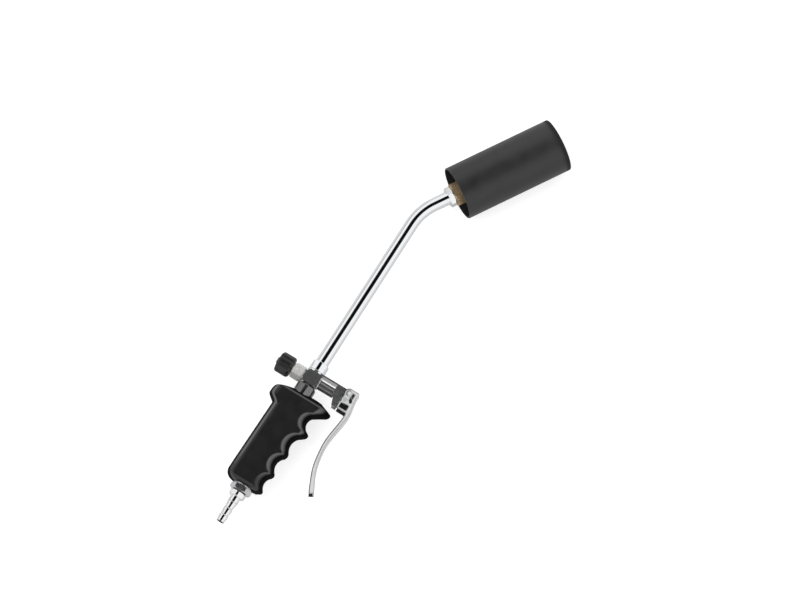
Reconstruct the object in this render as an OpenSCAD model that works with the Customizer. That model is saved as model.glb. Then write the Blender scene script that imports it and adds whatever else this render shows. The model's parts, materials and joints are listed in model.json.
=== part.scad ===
// Hand-held propane torch: hose tail, pistol grip, twin valve block with a
// flow knob and a squeeze lever, bent lance and open burner bell.
// Millimetres. +X runs along the gas pipe towards the burner, the knob is
// on the +Y side and the lever on the -Y side, and +Z points up off the side
// that the torch lies on. The origin is on the hose tail's axis, where the hose
// stops against the collar.

/* [Hose tail] */
// Length of the barbed hose tail, tip to collar
tail_len = 27.6; // [24:0.1:36]
// Radius of the plain land next to the collar
tail_land_r = 5.2; // [4.8:0.05:6]
// Length of the plain land
tail_land_len = 5.6; // [4:0.1:8]
// Radius of the barb crests
barb_crest_r = 5; // [4.4:0.05:5.15]
// Radius at the root of each barb
barb_root_r = 3.9; // [3.6:0.05:4.4]
// Number of barbs
barb_count = 3; // [2:1:4]
// Radius of the gas way through the tail
tail_bore_r = 2.6; // [1.5:0.1:3]
// Collar size across flats
collar_af = 15; // [14:0.5:18]
// Radius to which the collar's corners are turned down
collar_turned_r = 8.1; // [7.7:0.05:9]
// Thickness of the collar
collar_len = 5.2; // [4:0.1:7]
// Thickness of the copper washer behind the collar
tail_washer_t = 0.8; // [0.5:0.1:1.5]
// Locknut size across flats
locknut_af = 19; // [17:0.5:24]
// Thickness of the locknut
locknut_len = 5.6; // [4:0.1:8]
// Thickness of the steel washer under the grip
grip_washer_t = 1; // [0.6:0.1:2]

/* [Gas pipe] */
// Outer radius of the gas pipe in the grip
pipe_r = 6; // [5.8:0.1:6.5]
// Wall of the gas pipe
pipe_wall = 2; // [1.5:0.1:2.5]

/* [Grip] */
// Length of the grip
grip_len = 106.3; // [98:0.1:116]
// Half of the grip's thickness
grip_half = 13; // [11.5:0.1:16]
// Distance from the pipe's axis to the spine at the foot
spine_y = 20.9; // [17:0.1:26]
// How far the spine leans in towards the top
spine_lean = 1.1; // [0:0.1:3]
// Height of the rear flare over the spine
flare_rise = 7.8; // [4:0.1:10]
// Width of the rounded edge along the spine
spine_edge = 5.8; // [4:0.1:8]
// Width of the rounded edge round the finger grooves
groove_edge = 8.2; // [6:0.1:9]
// Share of a quarter round that each edge turns through
edge_turn = 0.6; // [0.5:0.01:0.95]
// Radius of the crown at the top of the grip
crown_r = 78; // [60:0.5:90]
// Width of the rounded edge round the crown
crown_edge = 7; // [5:0.1:9]
// Depth of the shank's seat in the crown
seat_depth = 3; // [2.5:0.1:5]

/* [Valve block] */
// Hex shank of the valve block, across flats
shank_af = 18.8; // [16:0.1:20]
// Radius to which the shank's corners are turned down
shank_turned_r = 9.9; // [9.5:0.05:11]
// Chamfer of the shank's end at the block
shank_chamfer = 2.4; // [1.5:0.1:3]
// Length of the hex shank
shank_len = 8.7; // [6:0.1:12]
// Length of the block along the lance
block_len = 13.6; // [13:0.1:16]
// Half width of the block across the valves
block_half_y = 8; // [7.8:0.1:9]
// Half thickness of the block
block_half_z = 8; // [7.5:0.1:10]
// Size of the cut corners
block_cut = 3.4; // [2:0.1:3.6]
// Distance of the valve axis above the foot of the block
valve_rise = 6.1; // [5.8:0.1:7]
// Radius of the threaded outlet
outlet_r = 7.2; // [7:0.1:7.5]
// Length of the threaded outlet
outlet_len = 7.2; // [6:0.1:9]

/* [Flow knob] */
// Knob radius
knob_r = 10.4; // [9:0.1:14]
// Knob length
knob_len = 14.8; // [11:0.1:18]
// Rounding of the knob's ends
knob_round = 2.4; // [1.5:0.1:3]
// Number of flutes
flute_count = 8; // [6:1:12]
// Flute radius
flute_r = 2.2; // [1.5:0.1:3]
// Gap between the gland nut and the knob when shut
knob_gap = 1.4; // [1:0.1:2.5]
// Gland nut across flats
gland_af = 14; // [13:0.5:16]
// Length of the gland nut
gland_len = 10.8; // [9:0.1:13]
// Radius of the valve stem
stem_r = 2.5; // [2.3:0.05:2.8]
// Radius of the head of the knob's screw
knob_screw_head_r = 3.9; // [3:0.1:4.5]
// How far the screw's head stands out
knob_screw_head_len = 1.7; // [1:0.1:2.5]

/* [Trigger valve] */
// Radius of the plunger housing
housing_r = 4.7; // [4.4:0.05:4.8]
// Length of the plunger housing
housing_len = 16.4; // [14:0.1:18]
// Radius of the plunger rod
rod_r = 1.5; // [1.3:0.05:1.8]
// Radius of the rod's push button
button_r = 2.5; // [2.2:0.1:2.9]
// Wire radius of the plunger spring
spring_wire_r = 0.35; // [0.25:0.05:0.45]
// Coil radius of the plunger spring, to the wire's centre
spring_coil_r = 2.6; // [2.4:0.05:2.7]
// Turns of the plunger spring
spring_turns = 8; // [6:1:10]

/* [Lever and bracket] */
// Sheet thickness of the bracket
bracket_t = 1.5; // [1.2:0.1:2]
// Half width inside the bracket's cheeks
bracket_in = 5.0; // [4.9:0.05:5.6]
// Thickness of the bracket's cheeks
cheek_t = 1.3; // [1:0.1:1.5]
// Sheet thickness of the lever
lever_t = 1.6; // [1.2:0.1:2]
// Depth of the lever's side flanges, the sheet included
flange_depth = 3.2; // [2.6:0.1:4.5]
// Depth of the flange near the lever's head
head_flange_depth = 4.4; // [3:0.1:5]
// Depth of the flange at the lever's foot
foot_flange_depth = 5.4; // [3:0.1:6]
// How far the bracket's cheeks reach back over the valve axis
cheek_reach = 11.8; // [10:0.1:13]
// Distance from the pipe's axis to the cheeks' near edge
cheek_start = 24.5; // [22:0.1:27]
// How much further out the cheeks' near edge lies at their far corner
cheek_slant = 4.9; // [2:0.1:6]
// How far the lever's cheeks reach back past the push pin
lever_reach = 10.8; // [8:0.1:12]
// Room between the bracket's ear and the lever's web
web_gap = 3.2; // [0.6:0.1:4]
// Width of the bent slot in the lever's upper cheek
slot_w = 2; // [1.4:0.1:2.4]
// Wall left between that slot and the pivot pin's hole
slot_wall = 0.8; // [0.6:0.1:1.2]
// Width of the rim round the window in the lever's upper cheek
window_rim = 1.5; // [1.2:0.1:2.2]
// Side gap between lever and bracket
lever_side_gap = 0.3; // [0.25:0.05:0.5]
// Radius of the pivot pin
pivot_r = 2; // [1.6:0.1:2.2]
// Distance of the pivot above the valve axis
pivot_rise = 5.9; // [5.6:0.1:6.5]
// Distance of the pivot out from the pipe's axis
pivot_out = 38.6; // [38:0.1:39.2]
// Radius of the pivot pin's head
pivot_head_r = 3.1; // [2.6:0.1:3.6]
// Radius of the push pin
push_r = 1.5; // [1.2:0.1:1.7]

/* [Lance] */
// Lance nut across flats
lance_nut_af = 16; // [15.5:0.5:19]
// Radius to which the lance nut's corners are turned down
lance_nut_turned_r = 8.45; // [8.3:0.05:9.5]
// Length of the lance nut
lance_nut_len = 9.6; // [9:0.1:13]
// Outer radius of the lance tube
lance_r = 6.5; // [6.3:0.1:6.7]
// Wall of the lance tube
lance_wall = 1; // [0.8:0.1:1.5]
// Distance from the block's top to the point where the lance turns
knee_run = 189; // [150:1:230]
// Angle of the lance's bend
bend_angle = 31.3; // [25:0.1:40]
// Radius of the lance's bend
bend_r = 55; // [45:1:70]

/* [Burner] */
// Distance from the turning point to the rear edge of the bell
bell_setback = 40.3; // [38:0.1:50]
// Outer radius of the bell
bell_r = 26.5; // [24:0.1:30]
// Wall of the bell
bell_wall = 1.5; // [1:0.1:2]
// Length of the bell
bell_len = 109.5; // [95:0.5:125]
// Head nut across flats
head_nut_af = 18; // [17:0.5:20]
// Thickness of the head nut
head_nut_len = 5.2; // [4:0.1:6.5]
// Injector holder across flats
holder_af = 20; // [19:0.5:24]
// Length of the injector holder's hex
holder_len = 12.4; // [11:0.1:15]
// Radius of the injector holder's nose
nose_r = 7; // [6.8:0.1:7.5]
// Thickness of the spider's sheet
spider_t = 1.5; // [1.2:0.1:2]
// Number of spider arms
spider_arms = 3; // [3:1:5]
// Width of each spider arm
arm_w = 8; // [6:0.5:10]
// Radius of the jet's orifice
jet_orifice_r = 0.6; // [0.5:0.05:1]
// Distance from the bell's rear edge to the flame disc
disc_setback = 30; // [28:0.5:38]
// Number of holes round the flame disc
disc_holes = 12; // [8:1:14]

/* [Clearances] */
// Radial gap between fitted round pieces
fit_gap = 0.05; // [0.03:0.01:0.08]
// Gap at rest between pieces that push each other
push_gap = 0.3; // [0.25:0.05:0.5]

/* [Hidden] */
$fn = 64;

// Places along the pipe's axis
collar_x = 0;
pipe_x = collar_x + collar_len + tail_washer_t;
grip_washer_x = pipe_x + locknut_len;
grip_x = grip_washer_x + grip_washer_t;
grip_top = grip_x + grip_len;
block_x = grip_top + shank_len;
valve_x = block_x + valve_rise;
block_top = block_x + block_len;
pipe_end = block_x + 0.4;
outlet_x = block_top + bracket_t;
outlet_end = outlet_x + outlet_len;
lance_x = outlet_x + 1;

// Places along the flow valve's axis, outwards from the pipe's axis
seal_washer_t = 1;
shank_corner_r = min(shank_turned_r, shank_af / 2 / cos(30));
gland_y = block_half_y + seal_washer_t;
gland_end = gland_y + gland_len;
knob_y = gland_end + knob_gap;
knob_end = knob_y + knob_len;
orifice_y = 2.4;
orifice_len = 1.4;
orifice_r = 1;
cavity_r = 3.5;
gland_spigot_r = 4.6;
gland_spigot_len = 3.4;
packing_r = 3.6;
packing_len = 3;

// Places along the trigger valve's axis, outwards from the pipe's axis
chamber_r = 4;
seat_y = 2.4;
seat_t = 1.4;
seat_hole_r = 2.2;
seal_t = 1.4;
seal_r = 3.1;
housing_y = block_half_y + seal_washer_t;
housing_spigot_len = 2.6;
housing_end = housing_y + housing_len;
guide_end = housing_y + 4;
spring_room_r = 3.4;
rod_collar_t = 1.5;
rod_collar_y = housing_end - 1.2;
pivot_x = valve_x + pivot_rise;
push_x = valve_x - 1;
push_y = pivot_out - 1;
rod_end = push_y - push_r - push_gap;

// Lever and bracket
bracket_half = bracket_in + cheek_t;
lever_in = bracket_half + lever_side_gap;
lever_half = lever_in + lever_t;
ear_r = pivot_r + 1.2;
web_end = pivot_out - ear_r;
lever_web_y = pivot_out + ear_r + web_gap;
lever_top = pivot_x + 5;
cheek_edge = pivot_out - 4;
bracket_edge = cheek_edge - 1;

// Burner, along the bell's axis from the turning point
knee_x = block_top + knee_run;
bend_run = bend_r * tan(bend_angle / 2);
holder_s = bell_setback - 4.6;
head_nut_s = holder_s - 0.4 - head_nut_len;
nose_s = holder_s + holder_len;
nose_len = 8;
lance_end = holder_s + holder_len - 3;
spider_nut_len = 4.5;
jet_s = nose_s + nose_len;
disc_s = bell_setback + disc_setback;
bell_in = bell_r - bell_wall;

function clamp(v, low, high) = max(low, min(high, v));
function smooth_max(a, b, k) = (a + b + sqrt((a - b) * (a - b) + k * k)) / 2;
function smooth_min(a, b, k) = -smooth_max(-a, -b, k);
function ease(t) = let (u = clamp(t, 0, 1)) u * u * (3 - 2 * u);

// Lays a piece drawn along +Z down along +X, +Y or -Y
module along_x() rotate([90, 0, 90]) children();
module along_y() rotate([-90, 0, 0]) children();
module along_minus_y() rotate([90, 0, 0]) children();

// Moves a piece drawn along +X to the bell's axis
module at_head() translate([knee_x, 0, 0]) rotate([0, 0, -bend_angle]) children();

module hex_prism(af, len) cylinder(r = af / 2 / cos(30), h = len, $fn = 6);

// A hex nut with both ends chamfered, and its corners turned down where a radius for them is given
module hex_nut(af, len, bore_r, turned_r = 1000) {
  chamfer = af * 0.07;
  corner_r = min(turned_r, af / 2 / cos(30));
  difference() {
    intersection() {
      hex_prism(af, len);
      rotate_extrude()
        polygon([[0, 0], [corner_r - chamfer, 0], [corner_r, chamfer * 0.6],
                 [corner_r, len - chamfer * 0.6], [corner_r - chamfer, len], [0, len]]);
    }
    translate([0, 0, -1]) cylinder(r = bore_r, h = len + 2);
  }
}

module ring(outer_r, inner_r, len) difference() {
  cylinder(r = outer_r, h = len);
  translate([0, 0, -1]) cylinder(r = inner_r, h = len + 2);
}

// ---- Hose tail and pipe ----

// Barbed tail: crest radii grow slightly towards the land
module hose_tail() {
  barb_pitch = (tail_len - tail_land_len) / barb_count;
  plug_r = pipe_r - pipe_wall - fit_gap;
  plug_len = 8;
  barbs = [for (i = [0:barb_count - 1]) each [
    [barb_root_r + 0.1 * i, i * barb_pitch],
    [barb_crest_r - 0.12 * (barb_count - 1 - i), (i + 0.9) * barb_pitch]]];
  color("silver") translate([collar_x - tail_len, 0, 0]) along_x() difference() {
    union() {
      rotate_extrude()
        polygon(concat([[0, 0]], barbs,
                       [[barb_root_r + 0.3, barb_count * barb_pitch],
                        [tail_land_r, barb_count * barb_pitch],
                        [tail_land_r, tail_len], [0, tail_len]]));
      translate([0, 0, tail_len]) rotate([0, 0, 30]) hex_nut(collar_af, collar_len, tail_bore_r, collar_turned_r);
      translate([0, 0, tail_len + 1]) cylinder(r = plug_r, h = collar_len - 1 + plug_len);
    }
    translate([0, 0, -1]) cylinder(r = tail_bore_r, h = tail_len + collar_len + plug_len + 2);
  }
}

module tail_washer() color("peru")
  translate([collar_x + collar_len, 0, 0])
    along_x() ring(pipe_r + 0.6, pipe_r - pipe_wall + fit_gap, tail_washer_t);

module grip_locknut() color("silver")
  translate([pipe_x, 0, 0]) along_x() hex_nut(locknut_af, locknut_len, pipe_r + fit_gap);

module grip_washer() color("silver")
  translate([grip_washer_x, 0, 0]) along_x() ring(locknut_af / 2, pipe_r + fit_gap, grip_washer_t);

module gas_pipe() color("darkgoldenrod")
  translate([pipe_x, 0, 0]) along_x() ring(pipe_r, pipe_r - pipe_wall, pipe_end - pipe_x);

// ---- Grip ----

// Finger grooves as [centre from the foot, radius, depth of the floor from the axis]
grooves = [[13.1, 10.5, 16.0], [34.2, 12, 15.8], [57.3, 13.5, 17.5], [83.6, 10, 19.2]];
// Line through the lips between the grooves, as [distance from the foot, depth]
lips = [[3, 19.9], [24, 20.5], [46.3, 21.1], [71.8, 26.9], [99.3, 34.5], [110, 37.5]];
// Outer limit of the flat side panel's creases
panel_limit = [[0, 16.5], [44, 17], [70, 19], [90, 19.2], [98, 21.8], [110, 23]];
foot_round = 8.5;
foot_flat = 7.5;
toe_slope = 0.2;
flare_start = 82.3;
flare_run = 8.5;
crown_y = -5.5;

// One groove's wall: a circle that runs out into its tangent
function groove_y(g, x) =
  let (t = abs(x - g[0]) / g[1], reach = 0.9)
  t < reach ? -g[2] - g[1] * (1 - sqrt(1 - t * t))
            : -g[2] - g[1] * (1 - sqrt(1 - reach * reach) + (t - reach) * reach / sqrt(1 - reach * reach));
function grooves_y(x) = max([for (g = grooves) groove_y(g, x)]);

// Front and spine of the grip at a distance x from its foot
function front_y(x) =
  let (toe = -foot_flat - x / toe_slope,
       crown = crown_y - sqrt(max(0, 2 * crown_r * (grip_len - x))),
       body = smooth_max(grooves_y(x), -lookup(x, lips), 1.6))
  smooth_max(smooth_max(body, toe, 3 * clamp(x / 2, 0, 1)), crown,
             1.8 * clamp((x - 60) / 20, 0, 1) * clamp((grip_len - x) / 3, 0, 1));
function spine_line(x) =
  let (lean = spine_y - spine_lean * clamp((x - 14) / 65, 0, 1),
       flared = lean + flare_rise * ease((x - flare_start) / flare_run),
       crown = crown_y + sqrt(max(0, 2 * crown_r * (grip_len - x))))
  smooth_min(crown, flared, 5 * clamp((grip_len - x) / 3, 0, 1));
function back_y(x) =
  x < foot_round ? spine_y - foot_round + sqrt(max(0, 2 * foot_round * x - x * x)) : spine_line(x);
// Edges of the flat side panel
function panel_front_y(x) =
  min(max(grooves_y(x + 2) + groove_edge, -lookup(x, panel_limit)), 0);
function panel_back_y(x) = max(back_y(x) - spine_edge, 4);
// Rise of a rounded edge, 0 at the outline and 1 at the panel
function edge_rise(t) =
  sqrt(1 - pow(1 - edge_turn * t, 2)) / sqrt(1 - pow(1 - edge_turn, 2));
// Half thickness of the panel: it falls away at the foot and at the crown
function panel_z(x) =
  (grip_half - 5.5 * pow(clamp(1 - x / 4.5, 0, 1), 2))
  * edge_rise(clamp((grip_len - x) / crown_edge, 0, 1));

edge_steps = [0, 0.03, 0.12, 0.28, 0.5, 0.75, 1];
function half_section(x) =
  let (f = front_y(x), b = back_y(x), pz = panel_z(x),
       pf = max(f + 0.4, panel_front_y(x)), pb = max(pf + 1, min(b - 0.4, panel_back_y(x))))
  concat([for (t = edge_steps) [x, f + (pf - f) * t, pz * edge_rise(t)]],
         [for (i = [len(edge_steps) - 1:-1:0]) let (t = edge_steps[i]) [x, b + (pb - b) * t, pz * edge_rise(t)]]);
function section(x) =
  let (top = half_section(x), n = len(top))
  concat(top, [for (i = [n - 2:-1:1]) [top[i][0], top[i][1], -top[i][2]]]);

grip_stations = concat(
  [0.02, 0.3, 0.9, 1.8, 2.9], [for (x = [4.2:1.3:93]) x],
  [for (i = [1:12]) 93 + (grip_len - 93.02) * sin(i * 7.5)]);

module grip() {
  rings = [for (x = grip_stations) section(x)];
  n = len(rings[0]);
  last = len(rings) - 1;
  points = [for (r = rings) each r];
  sides = [for (j = [0:last - 1], i = [0:n - 1])
    each [[j * n + i, j * n + (i + 1) % n, (j + 1) * n + i],
          [j * n + (i + 1) % n, (j + 1) * n + (i + 1) % n, (j + 1) * n + i]]];
  foot = [[for (i = [n - 1:-1:0]) i]];
  crown = [[for (i = [0:n - 1]) last * n + i]];
  color([0.13, 0.13, 0.14]) difference() {
    translate([grip_x, 0, 0]) polyhedron(points = points, faces = concat(sides, foot, crown));
    translate([grip_x - 1, 0, 0]) along_x() cylinder(r = pipe_r + fit_gap, h = grip_len + 2);
    // Seat of the valve block's shank
    translate([grip_top - seat_depth, 0, 0]) along_x() cylinder(r = shank_corner_r + 0.3, h = seat_depth + 1);
  }
}

// ---- Valve block ----

module valve_body() color([0.29, 0.29, 0.30]) difference() {
  union() {
    translate([grip_top - seat_depth, 0, 0]) along_x() intersection() {
      rotate([0, 0, 30]) hex_prism(shank_af, seat_depth + shank_len);
      rotate_extrude() polygon([[0, 0], [shank_corner_r, 0], [shank_corner_r, seat_depth + shank_len - shank_chamfer],
                                [shank_corner_r - shank_chamfer, seat_depth + shank_len], [0, seat_depth + shank_len]]);
    }
    translate([block_x, 0, -block_half_z]) linear_extrude(2 * block_half_z)
      polygon([[0, block_cut - block_half_y], [block_cut, -block_half_y],
               [block_len - block_cut, -block_half_y], [block_len, block_cut - block_half_y],
               [block_len, block_half_y - block_cut], [block_len - block_cut, block_half_y],
               [block_cut, block_half_y], [0, block_half_y - block_cut]]);
    translate([block_top - 1, 0, 0]) along_x() cylinder(r = outlet_r, h = outlet_end - block_top + 1);
  }
  // Socket of the gas pipe and the way on to the chamber
  translate([grip_top - seat_depth - 1, 0, 0]) along_x()
    cylinder(r = pipe_r + fit_gap, h = pipe_end - grip_top + seat_depth + 1);
  translate([grip_top, 0, 0]) along_x() cylinder(r = 2, h = valve_x - grip_top);
  // Chamber of the trigger valve, open on the lever's side
  translate([valve_x, orifice_y, 0]) along_minus_y() cylinder(r = chamber_r, h = orifice_y + block_half_y + 1);
  // Orifice, cavity and socket of the flow valve, open on the knob's side
  translate([valve_x, 0, 0]) along_y() cylinder(r = orifice_r, h = orifice_y + 2);
  translate([valve_x, orifice_y + orifice_len, 0]) along_y() cylinder(r = cavity_r, h = block_half_y);
  translate([valve_x, block_half_y - gland_spigot_len + seal_washer_t, 0]) along_y()
    cylinder(r = gland_spigot_r + fit_gap, h = block_half_y);
  // Gas ways from both valves to the lance
  for (y = [-5.1, 5]) translate([valve_x, y, 0]) along_x() cylinder(r = 1.1, h = lance_x - valve_x);
  // Socket of the lance tube
  translate([lance_x, 0, 0]) along_x() cylinder(r = lance_r + fit_gap, h = outlet_len + 1);
  translate([outlet_x - 0.6, 0, 0]) along_x() cylinder(r = lance_r - lance_wall, h = 2);
}

module valve_seat() color("goldenrod")
  translate([valve_x, -seat_y, 0]) along_minus_y() ring(chamber_r - fit_gap, seat_hole_r, seat_t);

module valve_seal() color([0.1, 0.1, 0.1])
  translate([valve_x, -seat_y + fit_gap, 0]) along_y() ring(seal_r, rod_r + fit_gap, seal_t);

// Rod with its seal disc, spring collar and push button
module plunger_rod() color("gainsboro") translate([valve_x, 0, 0]) union() {
  disc_y = seat_y - fit_gap - seal_t;
  translate([0, -disc_y, 0]) along_y() cylinder(r = seal_r, h = 0.9);
  translate([0, 0.9 - disc_y, 0]) along_minus_y() cylinder(r = rod_r, h = rod_end - 1);
  translate([0, -rod_collar_y, 0]) along_y() cylinder(r = spring_room_r - 0.3, h = rod_collar_t);
  translate([0, -rod_end, 0]) along_y() cylinder(r = button_r, h = 2.2);
}

// Helical spring from the housing's guide to the rod's collar
module plunger_spring() {
  start = guide_end + spring_wire_r + 0.1;
  end = rod_collar_y - rod_collar_t - spring_wire_r - 0.1;
  steps = 14;
  sides = 6;
  count = spring_turns * steps;
  function at(i, k) =
    let (a = 360 * i / steps, b = 360 * k / sides, r = spring_coil_r + spring_wire_r * cos(b))
    [r * cos(a), -start - (end - start) * i / count + spring_wire_r * sin(b), r * sin(a)];
  points = [for (i = [0:count], k = [0:sides - 1]) at(i, k)];
  faces = [for (i = [0:count - 1], k = [0:sides - 1]) each [
    [i * sides + k, (i + 1) * sides + k, i * sides + (k + 1) % sides],
    [i * sides + (k + 1) % sides, (i + 1) * sides + k, (i + 1) * sides + (k + 1) % sides]]];
  ends = [[for (k = [0:sides - 1]) k], [for (k = [sides - 1:-1:0]) count * sides + k]];
  color("lightgray") translate([valve_x, 0, 0]) polyhedron(points = points, faces = concat(faces, ends));
}

oring_wire_r = 0.6;
oring_y = housing_y + 0.4;
module rod_oring() color([0.1, 0.1, 0.1])
  translate([valve_x, -oring_y, 0]) along_minus_y()
    rotate_extrude() translate([rod_r + fit_gap + oring_wire_r, 0]) circle(r = oring_wire_r);

module plunger_housing() color([0.22, 0.22, 0.23]) translate([valve_x, 0, 0]) difference() {
  union() {
    translate([0, -housing_y, 0]) along_minus_y() cylinder(r = housing_r, h = housing_len);
    translate([0, housing_spigot_len - housing_y, 0]) along_minus_y()
      cylinder(r = chamber_r - fit_gap, h = housing_spigot_len + 1);
  }
  translate([0, 0, 0]) along_minus_y() cylinder(r = rod_r + fit_gap, h = housing_end);
  translate([0, -guide_end, 0]) along_minus_y() cylinder(r = spring_room_r, h = housing_len);
  translate([0, oring_wire_r + 0.1 - oring_y, 0]) along_minus_y()
    cylinder(r = rod_r + 2 * (fit_gap + oring_wire_r), h = 2 * oring_wire_r + 0.2);
}

module housing_washer() color("silver")
  translate([valve_x, -block_half_y, 0]) along_minus_y()
    ring(housing_r + 0.9, chamber_r + fit_gap, seal_washer_t);

// ---- Lever and bracket ----

// Side view of one cheek of the bracket, with the ear that carries the pivot
module bracket_cheek() difference() {
  union() {
    polygon([[block_top + 0.1, -cheek_start], [valve_x + 1.5, -cheek_start],
             [valve_x - cheek_reach, -cheek_start - cheek_slant], [valve_x - cheek_reach, -bracket_edge],
             [pivot_x - ear_r + 0.5, -bracket_edge],
             [pivot_x - ear_r, -pivot_out], [pivot_x, -pivot_out], [block_top + 0.1, -pivot_out]]);
    translate([pivot_x, -pivot_out]) circle(r = ear_r);
  }
  translate([pivot_x, -pivot_out]) circle(r = pivot_r + fit_gap / 2);
}

module lever_bracket() color("silver") difference() {
  union() {
    translate([block_top, -web_end, -bracket_half]) cube([bracket_t, web_end, 2 * bracket_half]);
    translate([block_top, 0, 0]) along_x() cylinder(r = block_half_y + 0.4, h = bracket_t);
    for (z = [-bracket_half, bracket_in]) translate([0, 0, z]) linear_extrude(cheek_t) bracket_cheek();
  }
  translate([block_top - 1, 0, 0]) along_x() cylinder(r = outlet_r + fit_gap, h = bracket_t + 2);
}

pin_head_z = lever_half + 0.3;
clip_t = 0.8;
module pivot_pin() color("gainsboro") translate([pivot_x, -pivot_out, 0]) difference() {
  union() {
    translate([0, 0, -pin_head_z - clip_t - 0.8]) cylinder(r = pivot_r, h = 2 * pin_head_z + clip_t + 1);
    translate([0, 0, pin_head_z]) cylinder(r = pivot_head_r, h = 1.1);
  }
  translate([0, 0, -pin_head_z - clip_t]) ring(pivot_r + 1, pivot_r - 0.5, clip_t);
}

// Retaining clip snapped in the pin's groove, open on one side
module pivot_clip() color("dimgray") translate([pivot_x, -pivot_out, -pin_head_z - clip_t + 0.05])
  linear_extrude(clip_t - 0.1) difference() {
    circle(r = pivot_head_r + 0.3);
    circle(r = pivot_r - 0.45);
    translate([0, -1.3]) square([6, 2.6]);
  }

module push_pin() color("gainsboro") translate([push_x, -push_y, 0]) {
  cylinder(r = push_r, h = 2 * (lever_half + 0.4), center = true);
  for (side = [0, 1]) mirror([0, 0, side]) translate([0, 0, lever_half])
    cylinder(r = push_r + 1, h = 1);
}

// Outer face of the lever's blade, as [distance down from the pivot, depth below the web]
blade_line = [[0, 0], [6.4, 0.9], [12.5, 2.0], [18.5, 2.6], [26, 2.2], [34, 1.1], [42, 0.1],
              [50, -0.5], [57, -0.3], [65, 0.9], [73, 2.7], [81, 5.4], [89.5, 9.5], [95, 12.4], [99.3, 14.8]];

// Points of a smooth curve through p, n to a stretch
function spline(p, n) = concat([for (i = [0:len(p) - 2], j = [0:n - 1])
  let (a = p[max(i - 1, 0)], b = p[i], c = p[i + 1], d = p[min(i + 2, len(p) - 1)], t = j / n)
  0.5 * (2 * b + (c - a) * t + (2 * a - 5 * b + 4 * c - d) * t * t + (3 * b - a - 3 * c + d) * t * t * t)],
  [p[len(p) - 1]]);
// The same curve moved sideways, by the depth that depths gives at each share of its length
function shifted(p, depths) = [for (i = [0:len(p) - 1])
  let (d = p[min(i + 1, len(p) - 1)] - p[max(i - 1, 0)], w = lookup(i / (len(p) - 1), depths))
  p[i] + w * [d[1], -d[0]] / norm(d)];

blade_outer = [for (q = spline(blade_line, 4)) [pivot_x - q[0], -lever_web_y - lever_t - q[1]]];

flange_depths = [[0.1, head_flange_depth], [0.35, flange_depth], [0.6, flange_depth], [0.95, foot_flange_depth]];

module blade_profile(depths) polygon(concat(
  [[lever_top, -lever_web_y - lever_t]], blade_outer,
  [for (i = [len(blade_outer) - 1:-1:0]) shifted(blade_outer, depths)[i]],
  [[lever_top, -lever_web_y - lever_t + depths[0][1]]]));

module lever_cheek() {
  polygon([[pivot_x, -lever_web_y - 0.5], [lever_top, -lever_web_y - 0.5], [lever_top, -pivot_out],
           [pivot_x + 3.2, -cheek_edge], [push_x - lever_reach, -cheek_edge],
           [push_x - lever_reach - 0.4, -lever_web_y - 3.2], [push_x - 4, -lever_web_y - 1.8]]);
  translate([pivot_x, -pivot_out]) circle(r = lever_top - pivot_x);
}

// A slot of even width that runs from a to its bend at b and on to c
module bent_slot(a, b, c, w) {
  u = (a - b) / norm(a - b);
  v = (c - b) / norm(c - b);
  mitre = (u + v) * w / 2 / norm(cross([u[0], u[1], 0], [v[0], v[1], 0]));
  side_a = (v - u * (u * v)) / norm(v - u * (u * v)) * w / 2;
  side_c = (u - v * (u * v)) / norm(u - v * (u * v)) * w / 2;
  polygon([a + side_a, b + mitre, c + side_c, c - side_c, b - mitre, a - side_a]);
}

// The bent slot beside the pins and the window below them
module cheek_openings() {
  level = -pivot_out - pivot_r - fit_gap - slot_wall - slot_w / 2;
  bent_slot([lever_top - 3.4, level], [push_x + 1.7, level], [push_x - 0.5, 0.9 - lever_web_y], slot_w);
  polygon([[push_x - lever_reach + window_rim, -cheek_edge - window_rim],
           [push_x - 4.2, -cheek_edge - window_rim - 0.4],
           [push_x - 3.8, 0.8 - lever_web_y], [push_x - lever_reach + window_rim, 0.8 - lever_web_y]]);
}

module trigger_lever() color("silver") difference() {
  union() {
    translate([0, 0, -lever_half]) linear_extrude(2 * lever_half) blade_profile([[0, lever_t], [1, lever_t]]);
    for (z = [-lever_half, lever_in]) translate([0, 0, z]) linear_extrude(lever_t) {
      blade_profile(flange_depths);
      lever_cheek();
    }
  }
  translate([pivot_x, -pivot_out, 0]) cylinder(r = pivot_r + fit_gap, h = 3 * lever_half, center = true);
  translate([push_x, -push_y, 0]) cylinder(r = push_r + fit_gap / 2, h = 3 * lever_half, center = true);
  translate([0, 0, lever_in - 1]) linear_extrude(lever_t + 2) cheek_openings();
}

// ---- Flow valve ----

module control_knob() color([0.1, 0.1, 0.11]) translate([valve_x, knob_y, 0]) along_y() difference() {
  rotate_extrude() union() {
    square([knob_r - knob_round, knob_len]);
    translate([0, knob_round]) square([knob_r, knob_len - 2 * knob_round]);
    for (y = [knob_round, knob_len - knob_round]) translate([knob_r - knob_round, y]) circle(r = knob_round);
  }
  for (i = [0:flute_count - 1]) rotate([0, 0, (i + 0.5) * 360 / flute_count])
    translate([knob_r + flute_r * 0.35, 0, -1]) cylinder(r = flute_r, h = knob_len + 2);
  translate([0, 0, -1]) cylinder(r = stem_r + fit_gap, h = knob_len - 1);
  cylinder(r = 1.5 + fit_gap, h = knob_len + 1);
}

module knob_screw() color("gray") translate([valve_x, knob_end, 0]) along_y() difference() {
  union() {
    rotate_extrude() polygon([[0, 0], [knob_screw_head_r, 0], [knob_screw_head_r, knob_screw_head_len * 0.5],
                              [knob_screw_head_r * 0.7, knob_screw_head_len], [0, knob_screw_head_len]]);
    translate([0, 0, -6]) cylinder(r = 1.5, h = 6.5);
  }
  translate([-0.5, -10, knob_screw_head_len * 0.45]) cube([1, 20, 5]);
}

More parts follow.
